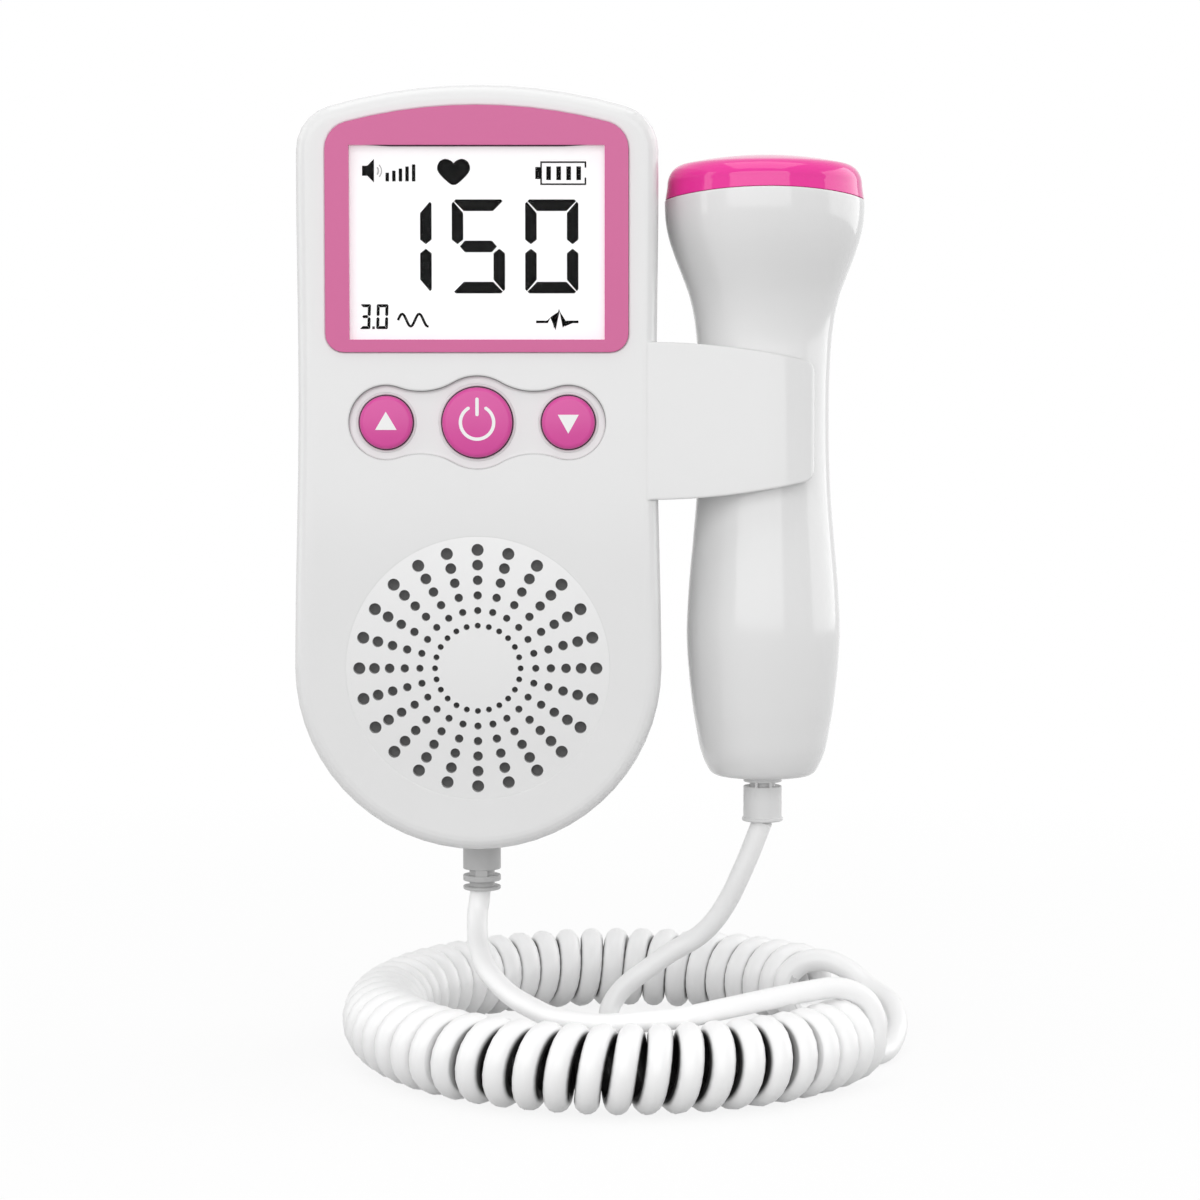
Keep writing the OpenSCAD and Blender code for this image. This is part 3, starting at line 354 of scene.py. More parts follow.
def cord_jacket(name, colour, roughness):
    """Jacket of the cord, with painted shade deep between the turns of the curly stretch."""
    material = plastic(name, colour, roughness, bump=0.03)
    tree = material.node_tree
    shader = tree.nodes["Principled BSDF"]
    place = tree.nodes.new("ShaderNodeTexCoord")
    offset = tree.nodes.new("ShaderNodeVectorMath")
    offset.operation = "SUBTRACT"
    offset.inputs[1].default_value = RING_CENTRE * MM
    tree.links.new(place.outputs["Object"], offset.inputs[0])
    flat = tree.nodes.new("ShaderNodeVectorMath")
    flat.operation = "MULTIPLY"
    flat.inputs[1].default_value = (1 / (RING_RX * MM), 1 / (RING_RY * MM), 0)
    tree.links.new(offset.outputs["Vector"], flat.inputs[0])
    ratio = tree.nodes.new("ShaderNodeVectorMath")
    ratio.operation = "LENGTH"
    tree.links.new(flat.outputs["Vector"], ratio.inputs[0])
    aside = tree.nodes.new("ShaderNodeMapRange")
    aside.clamp = False
    aside.inputs["From Min"].default_value = 1
    aside.inputs["From Max"].default_value = 2
    aside.inputs["To Max"].default_value = (RING_RX + RING_RY) / 2 * MM
    tree.links.new(ratio.outputs["Value"], aside.inputs["Value"])
    split = tree.nodes.new("ShaderNodeSeparateXYZ")
    tree.links.new(offset.outputs["Vector"], split.inputs["Vector"])
    across = tree.nodes.new("ShaderNodeCombineXYZ")
    tree.links.new(aside.outputs["Result"], across.inputs["X"])
    tree.links.new(split.outputs["Z"], across.inputs["Z"])
    depth = tree.nodes.new("ShaderNodeVectorMath")
    depth.operation = "LENGTH"
    tree.links.new(across.outputs["Vector"], depth.inputs[0])
    light = tree.nodes.new("ShaderNodeMapRange")
    light.interpolation_type = "SMOOTHSTEP"
    light.inputs["From Min"].default_value = GAP_DARK * MM
    light.inputs["From Max"].default_value = GAP_LIGHT * MM
    light.inputs["To Min"].default_value = 0.05
    tree.links.new(depth.outputs["Value"], light.inputs["Value"])
    beside = tree.nodes.new("ShaderNodeMath")
    beside.operation = "ABSOLUTE"
    tree.links.new(split.outputs["X"], beside.inputs[0])
    fade = tree.nodes.new("ShaderNodeMapRange")
    fade.inputs["From Min"].default_value = GAP_FADE[0] * MM
    fade.inputs["From Max"].default_value = GAP_FADE[1] * MM
    tree.links.new(beside.outputs["Value"], fade.inputs["Value"])
    share = tree.nodes.new("ShaderNodeMath")
    share.operation = "MAXIMUM"
    tree.links.new(light.outputs["Result"], share.inputs[0])
    tree.links.new(fade.outputs["Result"], share.inputs[1])
    tinted = shader.inputs["Base Color"].links[0].from_socket
    # Painted shade: the jacket's colour is blended towards black in the gaps between the turns
    painted_gap_shade = tree.nodes.new("ShaderNodeMix")
    painted_gap_shade.data_type = "RGBA"
    painted_gap_shade.inputs["A"].default_value = (0, 0, 0, 1)
    tree.links.new(share.outputs["Value"], painted_gap_shade.inputs["Factor"])
    tree.links.new(tinted, painted_gap_shade.inputs["B"])
    tree.links.new(painted_gap_shade.outputs["Result"], shader.inputs["Base Color"])
    return material


def metal(name, colour, roughness):
    """Metal with a fine grain."""
    material = plastic(name, colour, roughness, bump=0.05, grain=2500)
    material.node_tree.nodes["Principled BSDF"].inputs["Metallic"].default_value = 1
    return material


def soft_edged(material, radius):
    """Lets the edges of a moulding look rounded by the given radius in millimetres."""
    tree = material.node_tree
    edge = tree.nodes.new("ShaderNodeBevel")
    edge.samples = 6
    edge.inputs["Radius"].default_value = radius * MM
    tree.links.new(edge.outputs["Normal"], tree.nodes["Principled BSDF"].inputs["Normal"])
    return material


def grille_painted_light(name):
    """White of the speaker grille with painted light that makes it a little lighter towards its
    top.
    """
    material = plastic(name, (0.8, 0.8, 0.8), 0.16)
    tree = material.node_tree
    place = tree.nodes.new("ShaderNodeTexCoord")
    split = tree.nodes.new("ShaderNodeSeparateXYZ")
    painted_light_share = tree.nodes.new("ShaderNodeMapRange")
    painted_light_share.inputs["From Min"].default_value = (GRILLE_Z - 14) * MM
    painted_light_share.inputs["From Max"].default_value = (GRILLE_Z + GRILLE_R) * MM
    # Painted light: the colour grows lighter towards the top of the grille
    tint = tree.nodes.new("ShaderNodeMix")
    tint.data_type = "RGBA"
    tint.inputs["A"].default_value = (0.79, 0.79, 0.79, 1)
    tint.inputs["B"].default_value = (0.9, 0.9, 0.9, 1)
    tree.links.new(place.outputs["Object"], split.inputs["Vector"])
    tree.links.new(split.outputs["Z"], painted_light_share.inputs["Value"])
    tree.links.new(painted_light_share.outputs["Result"], tint.inputs["Factor"])
    tree.links.new(tint.outputs["Result"],
                   tree.nodes["Principled BSDF"].inputs["Base Color"])
    return material


def ink(name, colour):
    """Sign of the display, which hardly mirrors anything."""
    material = plastic(name, colour, 0.5)
    material.node_tree.nodes["Principled BSDF"].inputs["Specular IOR Level"].default_value = 0.02
    return material


def glass(name):
    """Clear window, which is seen only by what it mirrors."""
    material = plastic(name, (0.03, 0.03, 0.03), 0.03)
    shader = material.node_tree.nodes["Principled BSDF"]
    shader.inputs["Alpha"].default_value = 0.04
    return material


def display(name):
    """Pale glass of the display, lit from behind."""
    material = plastic(name, (0.93, 0.93, 0.93), 0.3)
    shader = material.node_tree.nodes["Principled BSDF"]
    shader.inputs["Emission Color"].default_value = (1, 1, 1, 1)
    shader.inputs["Emission Strength"].default_value = 0.3
    return material


MATERIALS = {
    "white_shell": soft_edged(plastic("white_shell", (0.80, 0.80, 0.80), 0.12), 0.6),
    # white_grille: painted light, lighter towards the grille's top
    "white_grille": grille_painted_light("white_grille"),
    "pink_frame": plastic("pink_frame", (0.62, 0.105, 0.30), 0.3),
    "pink_button": plastic("pink_button", (0.67, 0.06, 0.33), 0.3),
    "pink_cap": plastic("pink_cap", (0.84, 0.02, 0.32), 0.06),
    "clear_window": glass("clear_window"),
    "display_glass": display("display_glass"),
    "probe_shell": plastic("probe_shell", (0.80, 0.80, 0.80), 0.12),
    "display_ink": ink("display_ink", (0.004, 0.004, 0.004)),
    "display_faint": plastic("display_faint", (0.55, 0.55, 0.55), 0.4),
    "button_print": plastic("button_print", (0.9, 0.9, 0.9), 0.4),
    # Painted shadow under the top edge of the display frame
    "painted_shadow": plastic("painted_shadow", (0.06, 0.03, 0.05), 0.6),
    "shade_line": plastic("shade_line", (0.18, 0.18, 0.18), 0.6),
    # Painted shadow in the gaps round the buttons
    "button_gap_shadow": plastic("button_gap_shadow", (0.04, 0.006, 0.03), 0.5, bump=0.1),
    "diffuser": plastic("diffuser", (0.85, 0.87, 0.9), 0.5),
    "dust_cloth": plastic("dust_cloth", (0.14, 0.14, 0.14), 0.9, bump=0.8, grain=1500, sheen=0.3),
    "speaker_metal": metal("speaker_metal", (0.2, 0.2, 0.2), 0.4),
    "keypad_rubber": plastic("keypad_rubber", (0.5, 0.5, 0.5), 0.7, bump=0.2),
    "circuit_board": plastic("circuit_board", (0.02, 0.15, 0.05), 0.35, bump=0.3),
    "cell_jacket": metal("cell_jacket", (0.7, 0.5, 0.2), 0.3),
    "contact_metal": metal("contact_metal", (0.7, 0.7, 0.7), 0.2),
    "socket_plastic": plastic("socket_plastic", (0.03, 0.03, 0.03), 0.4, bump=0.1),
    "screw_steel": metal("screw_steel", (0.5, 0.5, 0.52), 0.3),
    "gland_rubber": plastic("gland_rubber", (0.5, 0.5, 0.5), 0.4, bump=0.1),
    "gland_pale": plastic("gland_pale", (0.74, 0.74, 0.74), 0.4, bump=0.1),
    "ceramic": metal("ceramic", (0.7, 0.55, 0.3), 0.35),
    "backing": plastic("backing", (0.05, 0.05, 0.05), 0.7, bump=0.2),
    # cord_jacket: the cord's white with painted shade between the turns of the curl
    "cord_jacket": cord_jacket("cord_jacket", (0.96, 0.96, 0.96), 0.3),
    "cord_plain": plastic("cord_plain", (0.96, 0.96, 0.96), 0.3, bump=0.03),
}


def dress(obj, material):
    """Gives a piece a material by its name; those of the CAD nodes are named as their slots."""
    obj.data.materials.clear()
    obj.data.materials.append(MATERIALS[material])
    return obj


def dress_nodes():
    """Every CAD node gets its material and smooth shading, with its flat faces kept flat."""
    slots = {s["node"]: s["material_slot"] for s in frame["record"]["subparts"]}
    for name, obj in nodes.items():
        dress(obj, slots[name])
        shade(obj.data, 28)
        weigh = obj.modifiers.new("flat faces", "WEIGHTED_NORMAL")
        weigh.keep_sharp = True


# ---------------------------------------------------------------- cord


def make_cord():
    """Case lead and curly stretch in one run, and the strand from the ring to the probe."""
    curl = helix()
    lead = through(MONITOR_LEAD + [curl[0]], LEAD_STEPS)[:-1]
    first = lead + curl
    swell = CURL_WIRE_D / CORD_D
    widths = [1 + (swell - 1) * ease((i - len(lead)) / POINTS_PER_TURN + 0.5)
              for i in range(len(first))]
    # The curl's jacket has painted shade between its turns
    curly = dress(cord_curve("cord_curly", first, CORD_D, widths), "cord_jacket")
    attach(curly, "monitor")
    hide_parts("cord_monitor_lead", "cord_coil")

    # The strand begins inside the last turn, so that no end shows
    opening = curl[-1 - STRAND_OVERLAP:] + [turn_point(angle, turn) for angle, turn in UNWIND]
    last = through(opening + PROBE_LEAD, LEAD_STEPS)
    inside = LEAD_STEPS * STRAND_OVERLAP
    radii = [CORD_D / 2 * (1 + (swell - 1) * ease(1 - (i - inside) / STRAND_SETTLES)
                           - STRAND_THINNER)
             for i in range(len(last))]
    strand = dress(tube("cord_strand", last, radii), "cord_plain")
    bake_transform(strand)
    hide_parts("cord_probe_lead")


# ---------------------------------------------------------------- probe and glands


def seam_lift(z, a):
    """How far the seam's curve lifts a point of the probe or its cap, most at the seam itself."""
    start, stop = SEAM_FADE
    if z < SEAM_Z:
        near = ease((z - start) / (SEAM_Z - start))
    else:
        near = ease((stop - z) / (stop - SEAM_Z))
    return -SEAM_WAVE * math.cos(2 * a) * near


def make_probe():
    """Smooth body of the probe, and its cap with a round shoulder and a slightly domed crown."""
    profile = [(p.x, p.y) for p in through([(z, r, 0) for z, r in PROBE_PROFILE], 5)]
    profile += [(SEAM_Z - 0.12, SEAM_R[0]), (SEAM_Z - 0.03, SEAM_R[1])]
    body = dress(turned("probe_body", profile, PROBE_X, PROBE_Y, wave=seam_lift), "probe_shell")
    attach(body, "probe")
    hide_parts("probe_front_shell", "probe_rear_shell")

    mid_r = CAP_SIDE_R - CAP_SHOULDER_R
    crown_z = CAP_TOP_Z - CAP_CROWN_R
    mid_z = crown_z + math.sqrt((CAP_CROWN_R - CAP_SHOULDER_R) ** 2 - mid_r ** 2)
    end = math.atan2(mid_z - crown_z, mid_r)
    rim = [(SEAM_Z + 0.02, CAP_RIM_R), (SEAM_Z + 0.1, CAP_R)]
    rim += [(SEAM_Z + 0.1 + (mid_z - SEAM_Z - 0.1) * i / 6, CAP_R + (CAP_SIDE_R - CAP_R) * i / 6)
            for i in range(1, 6)]
    rim += [(mid_z + CAP_SHOULDER_R * math.sin(end * i / 12),
             mid_r + CAP_SHOULDER_R * math.cos(end * i / 12)) for i in range(13)]
    rim += [(crown_z + CAP_CROWN_R * math.sin(end + (math.pi / 2 - end) * i / 16),
             CAP_CROWN_R * math.cos(end + (math.pi / 2 - end) * i / 16)) for i in range(1, 16)]
    cap = dress(turned("probe_cap_skin", rim, PROBE_X, PROBE_Y, wave=seam_lift), "pink_cap")
    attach(cap, "probe")
    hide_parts("probe_cap")


def gland(node, body, top, low, radius, lip_r, grooves, ribs, material):
    """Strain relief: a round body with flexing grooves, bridged by ribs.

    Grooves and ribs are given by their heights above low; a rib also has its place across, its
    width and how far it stands out.
    """
    box_low, box_high = box_mm(node)
    x, y = (box_low.x + box_high.x) / 2, (box_low.y + box_high.y) / 2
    core = radius - GLAND_CORE_DEPTH
    lip = GLAND_LIP
    profile = [(low, lip_r - 0.35), (low + 0.08, lip_r - 0.12), (low + 0.25, lip_r),
               (low + lip - 0.15, lip_r), (low + lip, lip_r - 0.12)]
    if not grooves or grooves[0][0] > lip:
        profile += [(low + lip + 0.02, radius)]
    for start, stop in grooves:
        profile += [(low + start - 0.1, radius), (low + start, radius - 0.1), (low + start, core),
                    (low + stop, core), (low + stop, radius - 0.1), (low + stop + 0.1, radius)]
    profile.append((top, radius))
    piece = dress(turned(node + "_skin", profile, x, y, 64), material)
    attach(piece, body)
    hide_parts(node)
    for i, (at, width, start, stop, reach) in enumerate(ribs):
        half = width / 2
        depth = math.sqrt(radius ** 2 - (abs(at) + half) ** 2) + reach
        ring = [(x + at - half, y - depth + 0.15), (x + at - half + 0.15, y - depth),
                (x + at + half - 0.15, y - depth), (x + at + half, y - depth + 0.15),
                (x + at + half, y + depth), (x + at - half, y + depth)]
        rib = dress(loft(f"{node}_rib_{i + 1}", [[(px, py, low + start) for px, py in ring],
                                                 [(px, py, low + stop) for px, py in ring]]),
                    material)
        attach(rib, body)


def make_glands():
    gland("monitor_gland", "monitor", -66.5, GLAND_LOW.z + 0.45, 3.47, 3.45,
          [(0.7, 1.7), (2.75, 3.85)], [(0, 2.2, 2.7, 3.9, -0.05)], "gland_rubber")
    gland("probe_gland", "probe", -55, PROBE_GLAND_LOW.z, 3.5, 3.75,
          [(6.45, 7.25)], [(-1.3, 0.6, 4.3, 7.3, 0.12), (1.3, 0.6, 4.3, 7.3, 0.12)], "gland_pale")


# ---------------------------------------------------------------- flat prints


def prints(name, outlines, front_y, thick, material, body):
    """One piece of thin flat shapes that face forward, from outlines in x and z."""
    points = []
    faces = []
    for outline in outlines:
        first = len(points)
        n = len(outline)
        points += [(x, front_y, z) for x, z in outline]
        points += [(x, front_y + thick, z) for x, z in outline]
        faces.append(tuple(range(first, first + n)))
        faces.append(tuple(range(first + 2 * n - 1, first + n - 1, -1)))
        faces += [(first + i, first + n + i, first + n + (i + 1) % n, first + (i + 1) % n)
                  for i in range(n)]
    piece = dress(link(name, points, faces), material)
    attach(piece, body)
    return piece


def arc(x, z, radius, start, end, steps=40):
    """Points on a circle; angles in degrees, from the right and up, as seen from the front."""
    return [(x + radius * math.cos(math.radians(start + (end - start) * i / steps)),
             z + radius * math.sin(math.radians(start + (end - start) * i / steps)))
            for i in range(steps + 1)]


def ring_piece(name, inner, outer, front_y, back_y, material):
    """Flat closed band between two outlines of as many points, on the case."""
    n = len(inner)
    points = [(x, front_y, z) for x, z in inner] + [(x, front_y, z) for x, z in outer]
    points += [(x, back_y, z) for x, z in outer] + [(x, back_y, z) for x, z in inner]
    faces = [(k * n + i, k * n + (i + 1) % n, (k + 1) % 4 * n + (i + 1) % n, (k + 1) % 4 * n + i)
             for k in range(4) for i in range(n)]
    band = dress(link(name, points, faces), material)
    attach(band, "monitor")


def bar(left, low, right, high):
    """Outline of a rectangle."""
    return [(left, low), (right, low), (right, high), (left, high)]


def digit(left, low, right, high, stroke, gap, which, slant=0):
    """Bars of a seven-segment digit; which names them, a at the top and on clockwise, g last."""
    mid = (low + high) / 2
    cut = 0.15 * stroke
    half = stroke / 2
    tip = 0.4 * stroke
    side = [(half, mid + gap), (0, mid + gap + tip), (0, high - gap - cut), (cut, high - gap),
            (stroke, high - gap - stroke), (stroke, mid + gap + tip)]
    level = [(gap + cut, high), (gap, high - cut), (gap + stroke - cut, high - stroke)]
    width = right - left
    shapes = {
        "a": [(left + x, z) for x, z in level] + [(right - x, z) for x, z in reversed(level)],
        "f": [(left + x, z) for x, z in side],
        "b": [(right - x, z) for x, z in side],
        "g": [(left + 0.7 * stroke, mid), (left + 1.15 * stroke, mid + half),
              (left + width - 1.15 * stroke, mid + half), (right - 0.7 * stroke, mid),
              (left + width - 1.15 * stroke, mid - half), (left + 1.15 * stroke, mid - half)],
    }
    for upper, lower in (("a", "d"), ("f", "e"), ("b", "c")):
        shapes[lower] = [(x, low + high - z) for x, z in shapes[upper]]
    return [[(x + slant * (z - low), z) for x, z in shapes[key]] for key in which]


def line(points, width):
    """Strip of even width along a path, as one outline."""
    left = []
    right = []
    for i, (x, z) in enumerate(points):
        ahead = Vector(points[min(i + 1, len(points) - 1)]) - Vector(points[max(i - 1, 0)])
        side = Vector((-ahead.y, ahead.x)).normalized() * width / 2
        left.append((x + side.x, z + side.y))
        right.append((x - side.x, z - side.y))
    return left + right[::-1]


def capped_line(points, width):
    """Strip with round ends."""
    strip = line(points, width)
    n = len(points)
    caps = []
    for place, toward in ((points[0], points[1]), (points[-1], points[-2])):
        away = Vector(place) - Vector(toward)
        middle = math.degrees(math.atan2(away.y, away.x))
        caps.append(arc(*place, width / 2, middle + 90, middle - 90, 10))
    return caps[0] + strip[:n][1:-1] + caps[1] + strip[n:][1:-1]


# ---------------------------------------------------------------- display

DIGITS = ((-17.4, "bc"), (-4.45, "afgcd"), (8.5, "abcdef"))
DIGIT_W = 9.38
DIGIT_LOW = 31.22
DIGIT_HIGH = 47.7
DIGIT_STROKE = 2.02
DIGIT_GAP = 0.4
SMALL_LOW = 24.94
SMALL_HIGH = 29.3
SMALL_STROKE = 0.52
SMALL_GAP = 0.08
SMALL_SLANT = 0.03
SMALL_LINE = 0.44
HEART = [(0, 54.05), (0.5, 54.5), (1.5, 54.8), (2.5, 54.3), (2.9, 53.2), (2.5, 52.2),
         (1.4, 51.05), (0.5, 50.35), (0, 50.23)]
HEART_X = -4.1


def lcd_outlines():
    """Dark signs of the display.

    They are the large number, the loudspeaker with its level bars, the heart, the battery, the
    small number with a wave, and a pulse.
    """
    signs = []
    for left, which in DIGITS:
        signs += digit(left, DIGIT_LOW, left + DIGIT_W, DIGIT_HIGH, DIGIT_STROKE, DIGIT_GAP, which)
    signs.append([(-20.23, 53.6), (-19.3, 53.6), (-18.13, 54.78), (-18.13, 50.66),
                  (-19.3, 51.85), (-20.23, 51.85)])
    for i in range(5):
        left = -16.09 + 1.163 * i
        signs.append(bar(left, 50.86, left + 0.6, 52.38 + 0.363 * i))
    half = [(p.x, p.y) for p in through([(x, z, 0) for x, z in HEART], 6)]
    signs.append([(HEART_X + x, z) for x, z in half]
                 + [(HEART_X - x, z) for x, z in half[-2:0:-1]])
    low, high, left, right, rim = 50.23, 54.37, 11.18, 19.27, 0.28
    signs += [bar(left, low, right, low + rim), bar(left, high - rim, right, high),
              bar(left, low + rim, left + rim, high - rim),
              bar(right - rim, low + rim, right, low + 1.3),
              bar(right - rim, high - 1.1, right, high - rim),
              bar(left - 0.88, 51.28, left, 53.38)]
    for i in range(4):
        signs.append(bar(12.24 + 1.765 * i, 51.1, 13.05 + 1.765 * i, 53.48))
    signs += digit(-20.75, SMALL_LOW, -18.9, SMALL_HIGH, SMALL_STROKE, SMALL_GAP, "abgcd",
                   SMALL_SLANT)
    signs.append(bar(-18.55, SMALL_LOW, -18.1, 25.4))
    signs += digit(-17.85, SMALL_LOW, -15.8, SMALL_HIGH, SMALL_STROKE, SMALL_GAP, "abcdef",
                   SMALL_SLANT)
    wave = [(x / 10, 26.5 + 1.1 * math.sin(math.radians(x * 12 + 1680)))
            for x in range(-140, -85, 2)]
    signs.append(line(wave, SMALL_LINE))
    pulse = [(10.4, 26.2), (12.4, 26.2), (13.1, 27.1), (13.7, 24.9), (14.5, 28.3),
             (15.3, 25.3), (15.8, 26.2), (17.9, 26.2)]
    signs.append(line(pulse, SMALL_LINE))
    return signs


def make_display():
    """Signs printed on the display, and the clear window with its rounded corners."""
    glass_y = box_mm("lcd_panel")[0].y
    prints("lcd_signs", lcd_outlines(), glass_y - 0.06, 0.05, "display_ink", "monitor")
    faint = [line(arc(-18.3, 52.7, 0.95, -42, 42, 16), 0.3),
             line(arc(-18.3, 52.7, 1.5, -45, 45, 16), 0.22)]
    prints("lcd_faint_sign", faint, glass_y - 0.06, 0.05, "display_faint", "monitor")

    low, high = box_mm("display_window")
    pane = []
    for inset, y in ((0.12, low.y), (0, low.y + 0.12), (0, high.y - 0.25), (0.05, high.y - 0.2)):
        ring = []
        for x, z, start in ((high.x, high.z, 0), (low.x, high.z, 90), (low.x, low.z, 180),
                            (high.x, low.z, 270)):
            r = 0.5
            cx = x - r * (1 if x > 0 else -1)
            cz = z - r * (1 if z == high.z else -1)
            ring += [(px, y, pz) for px, pz in arc(cx, cz, r - inset, start, start + 90, 6)]
        pane.append(ring)
    window = dress(loft("window_pane", pane), "clear_window")
    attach(window, "monitor")
    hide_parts("display_window")


def make_painted_window_shadow():
    """Dark strip of painted shadow under the top edge of the frame, over the top of the window,
    thin at its ends.
    """
    low, high = box_mm("display_window")
    y = low.y - 0.02
    ends = 20.2
    top = [(-ends + 2 * ends * i / 40, high.z + 0.1) for i in range(41)]
    under = [(x, high.z + 0.1 - 0.3 * min(1, (ends - abs(x)) / 5 + 0.05)) for x, z in reversed(top)]
    painted_shadow = prints("window_top_shadow", [top + under], y, 0.06, "painted_shadow", "monitor")


# ---------------------------------------------------------------- buttons and grille


def recess_outline():
    """Outline of the shallow recess round the buttons, anticlockwise from its right end."""
    low, high = box_mm("power_button")
    side_low, side_high = box_mm("volume_down_button")
    z = (low.z + high.z) / 2
    pitch = (side_low.x + side_high.x) / 2
    mid_r = LOBE_R["power"]
    side_r = LOBE_R["volume_up"]
    to_mid = mid_r + RECESS_BLEND_R
    to_side = side_r + RECESS_BLEND_R
    bx = (to_mid ** 2 - to_side ** 2 + pitch ** 2) / (2 * pitch)
    bz = math.sqrt(to_mid ** 2 - bx ** 2)
    a_mid = math.degrees(math.atan2(bz, bx))
    a_side = math.degrees(math.atan2(bz, bx - pitch))
    quarter = arc(pitch, 0, side_r, 0, a_side, 40)
    quarter += arc(bx, bz, RECESS_BLEND_R, a_side - 180, a_mid - 180, 24)[1:]
    quarter += arc(0, 0, mid_r, a_mid, 90, 16)[1:]
    half = quarter + [(-x, h) for x, h in reversed(quarter[:-1])]
    return ([(x, z + h) for x, h in half] + [(x, z - h) for x, h in reversed(half[1:-1])])


def make_recess_shadow_line():
    """Thin line of painted shade round the recess, strongest along its top."""
    outline = recess_outline()
    n = len(outline)
    middle = sum(z for x, z in outline) / n
    top = max(z for x, z in outline)
    inner = []
    outer = []
    for i, (x, z) in enumerate(outline):
        ahead = Vector(outline[(i + 1) % n]) - Vector(outline[i - 1])
        out = Vector((ahead.y, -ahead.x)).normalized()
        share = ease((z - middle + 3) / (top - middle))
        inner.append((x - out.x * (0.01 + 0.13 * share), z - out.y * (0.01 + 0.13 * share)))
        outer.append((x + out.x * (0.005 + 0.03 * share), z + out.y * (0.005 + 0.03 * share)))
    # Painted shade along the edge of the recess
    ring_piece("recess_shadow_line", inner, outer, FACE_Y - 0.02, FACE_Y + 0.1, "shade_line")


def make_buttons():
    """The three buttons with their white signs, a dark ring of painted shadow in the gap, and the
    collar round each.
    """
    for name in ("power", "volume_up", "volume_down"):
        low, high = box_mm(name + "_button")
        x, z = (low.x + high.x) / 2, (low.z + high.z) / 2
        radius = BUTTON_R[name]
        front = low.y - 0.03
        if name == "power":
            shapes = [capped_line(arc(x, z, 2.94, 122, 418, 60), 0.59),
                      capped_line([(x, z + 1.4), (x, z + 4.1)], 0.6)]
        elif name == "volume_up":
            shapes = [[(x - 1.9, z - 1.31), (x + 1.9, z - 1.31), (x, z + 1.91)]]
        else:
            shapes = [[(x, z - 1.98), (x + 1.86, z + 1.36), (x - 1.86, z + 1.36)]]
        prints(name + "_sign", shapes, front, 0.05, "button_print", name + "_button")
        edge = [(low.y + depth, radius - inset) for depth, inset in BUTTON_EDGE]
        rings = [[(px, y, pz) for px, pz in arc(x, z, r, 0, 360, 96)[:-1]]
                 for y, r in edge + [(high.y, radius)]]
        button = dress(loft(name + "_skin", rings), "pink_button")
        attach(button, name + "_button")
        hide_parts(name + "_button")
        edges = [arc(x, z, radius + gap, 0, 360, 96)[:-1]
                 for gap in (0.02, BUTTON_GAP + 0.05, BUTTON_GAP, 0.7)]
        y = FACE_Y + RECESS_DEPTH
        # Painted shadow: near-black ring in the gap round the button
        ring_piece(name + "_gap_shadow", edges[0], edges[1], y + 0.12, y + 0.3, "button_gap_shadow")
        ring_piece(name + "_collar", edges[2], edges[3], y - 0.02, y + 0.3, "white_shell")


def make_grille_rim():
    """Rim of the grille, which closes the fine gap round it."""
    inner = arc(GRILLE_X, GRILLE_Z, GRILLE_R - 0.5, 0, 360, 120)[:-1]
    outer = arc(GRILLE_X, GRILLE_Z, GRILLE_R + 0.2, 0, 360, 120)[:-1]
    ring_piece("grille_rim", inner, outer, GRILLE_LOW.y - 0.02, GRILLE_LOW.y + 0.25,
               "white_grille")


# ---------------------------------------------------------------- stage


def make_camera():
    """Camera straight in front of the case, tilted a little down, as in the photograph."""
    data = bpy.data.cameras.new("camera")
    data.lens = CAMERA_LENS
    data.sensor_width = CAMERA_SENSOR
    data.clip_start = 0.01
    camera = bpy.data.objects.new("camera", data)
    camera.location = CAMERA_PLACE * MM
    camera.rotation_euler = (math.radians(90 - CAMERA_PITCH), 0, 0)
    bpy.context.scene.collection.objects.link(camera)
    bpy.context.scene.camera = camera


def area_light(name, place, aim, size, radiance):
    """Soft rectangular lamp of an even brightness, in metres, turned towards a point."""
    data = bpy.data.lights.new(name, "AREA")
    data.shape = "RECTANGLE"
    data.size, data.size_y = size
    data.energy = radiance * math.pi * size[0] * size[1]
    lamp = bpy.data.objects.new(name, data)
    lamp.location = place
    lamp.rotation_euler = (Vector(aim) - Vector(place)).to_track_quat("-Z", "Y").to_euler()
    lamp.visible_camera = False
    bpy.context.scene.collection.objects.link(lamp)


def seen_rays(tree):
    """One where a ray comes from the camera, a mirror or glass, and zero for plain light."""
    path = tree.nodes.new("ShaderNodeLightPath")
    total = None
    for ray in ("Is Camera Ray", "Is Glossy Ray", "Is Transmission Ray"):
        if total is None:
            total = path.outputs[ray]
            continue
        most = tree.nodes.new("ShaderNodeMath")
        most.operation = "MAXIMUM"
        tree.links.new(total, most.inputs[0])
        tree.links.new(path.outputs[ray], most.inputs[1])
        total = most.outputs[0]
    return total


def make_world(level):
    """Plain white behind everything, and an even light of the given level."""
    world = bpy.data.worlds.new("studio")
    bpy.context.scene.world = world
    world.use_nodes = True
    tree = world.node_tree
    ground = tree.nodes["Background"]
    ground.inputs["Color"].default_value = (1, 1, 1, 1)
    strength = tree.nodes.new("ShaderNodeMix")
    strength.inputs["A"].default_value = level
    strength.inputs["B"].default_value = 1
    tree.links.new(seen_rays(tree), strength.inputs["Factor"])
    tree.links.new(strength.outputs["Result"], ground.inputs["Strength"])


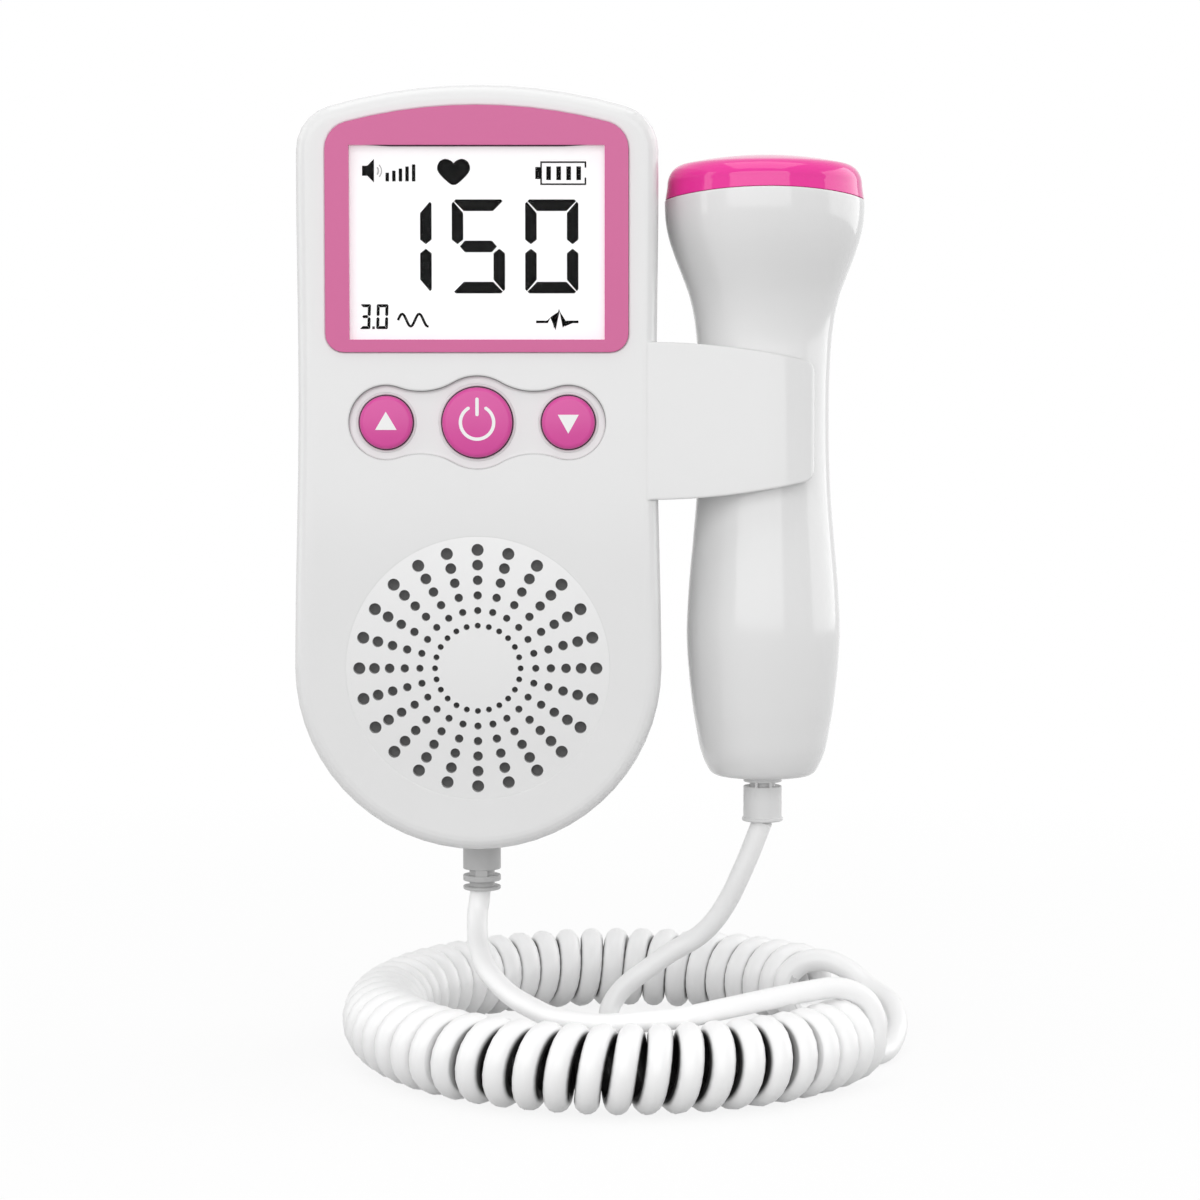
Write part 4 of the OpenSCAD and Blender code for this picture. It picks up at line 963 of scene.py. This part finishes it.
def make_floor():
    """White floor under the ring that keeps a faint shadow."""
    half = FLOOR_HALF
    z = FLOOR_Z - FLOOR_DROP
    floor = link("floor", [(-half, -half, z), (half, -half, z), (half, half, z), (-half, half, z)],
                 [(0, 1, 2, 3)])
    material = bpy.data.materials.new("floor")
    material.use_nodes = True
    tree = material.node_tree
    shader = tree.nodes["Principled BSDF"]
    shader.inputs["Roughness"].default_value = 0.8
    seen = seen_rays(tree)
    tone = tree.nodes.new("ShaderNodeMix")
    tone.data_type = "RGBA"
    for socket, value in zip("AB", FLOOR_TONES):
        tone.inputs[socket].default_value = (value, value, value, 1)
    tree.links.new(seen, tone.inputs["Factor"])
    tree.links.new(tone.outputs["Result"], shader.inputs["Base Color"])
    glow = tree.nodes.new("ShaderNodeEmission")
    blend = tree.nodes.new("ShaderNodeMixShader")
    place = tree.nodes.new("ShaderNodeTexCoord")
    reach = tree.nodes.new("ShaderNodeVectorMath")
    reach.operation = "LENGTH"
    fade = tree.nodes.new("ShaderNodeMapRange")
    fade.inputs["From Min"].default_value = FLOOR_FADE[0]
    fade.inputs["From Max"].default_value = FLOOR_FADE[1]
    fade.inputs["To Min"].default_value = FLOOR_GLOW
    share = tree.nodes.new("ShaderNodeMath")
    share.operation = "MULTIPLY"
    tree.links.new(place.outputs["Object"], reach.inputs[0])
    tree.links.new(reach.outputs["Value"], fade.inputs["Value"])
    tree.links.new(seen, share.inputs[0])
    tree.links.new(fade.outputs["Result"], share.inputs[1])
    tree.links.new(share.outputs[0], blend.inputs[0])
    tree.links.new(shader.outputs[0], blend.inputs[1])
    tree.links.new(glow.outputs[0], blend.inputs[2])
    tree.links.new(blend.outputs[0], tree.nodes["Material Output"].inputs["Surface"])
    floor.data.materials.append(material)


def make_lights():
    """Four soft panels: in front, at both sides and above."""
    area_light("front_panel", (-0.335, -1.5, 0.62), (-0.335, 0, 0.62), (2.33, 1.37), 1.72)
    area_light("left_panel", (-1.3, -0.1, 0.35), (0.02, -0.1, 0.1), (0.8, 1.2), 1.3)
    area_light("right_panel", (1.3, 0.35, 0.35), (0.02, -0.1, 0.1), (1.6, 1.2), 1.6)
    area_light("top_panel", (0, -0.2, 1.4), (0.02, -0.1, 0), (1.2, 1.2), 1.4)


# ---------------------------------------------------------------- all

bpy.context.scene.view_settings.view_transform = "Standard"
make_camera()
make_cord()
dress_nodes()
make_probe()
make_glands()
make_display()
make_painted_window_shadow()
make_buttons()
make_recess_shadow_line()
make_grille_rim()
make_world(WORLD_LEVEL)
make_floor()
make_lights()
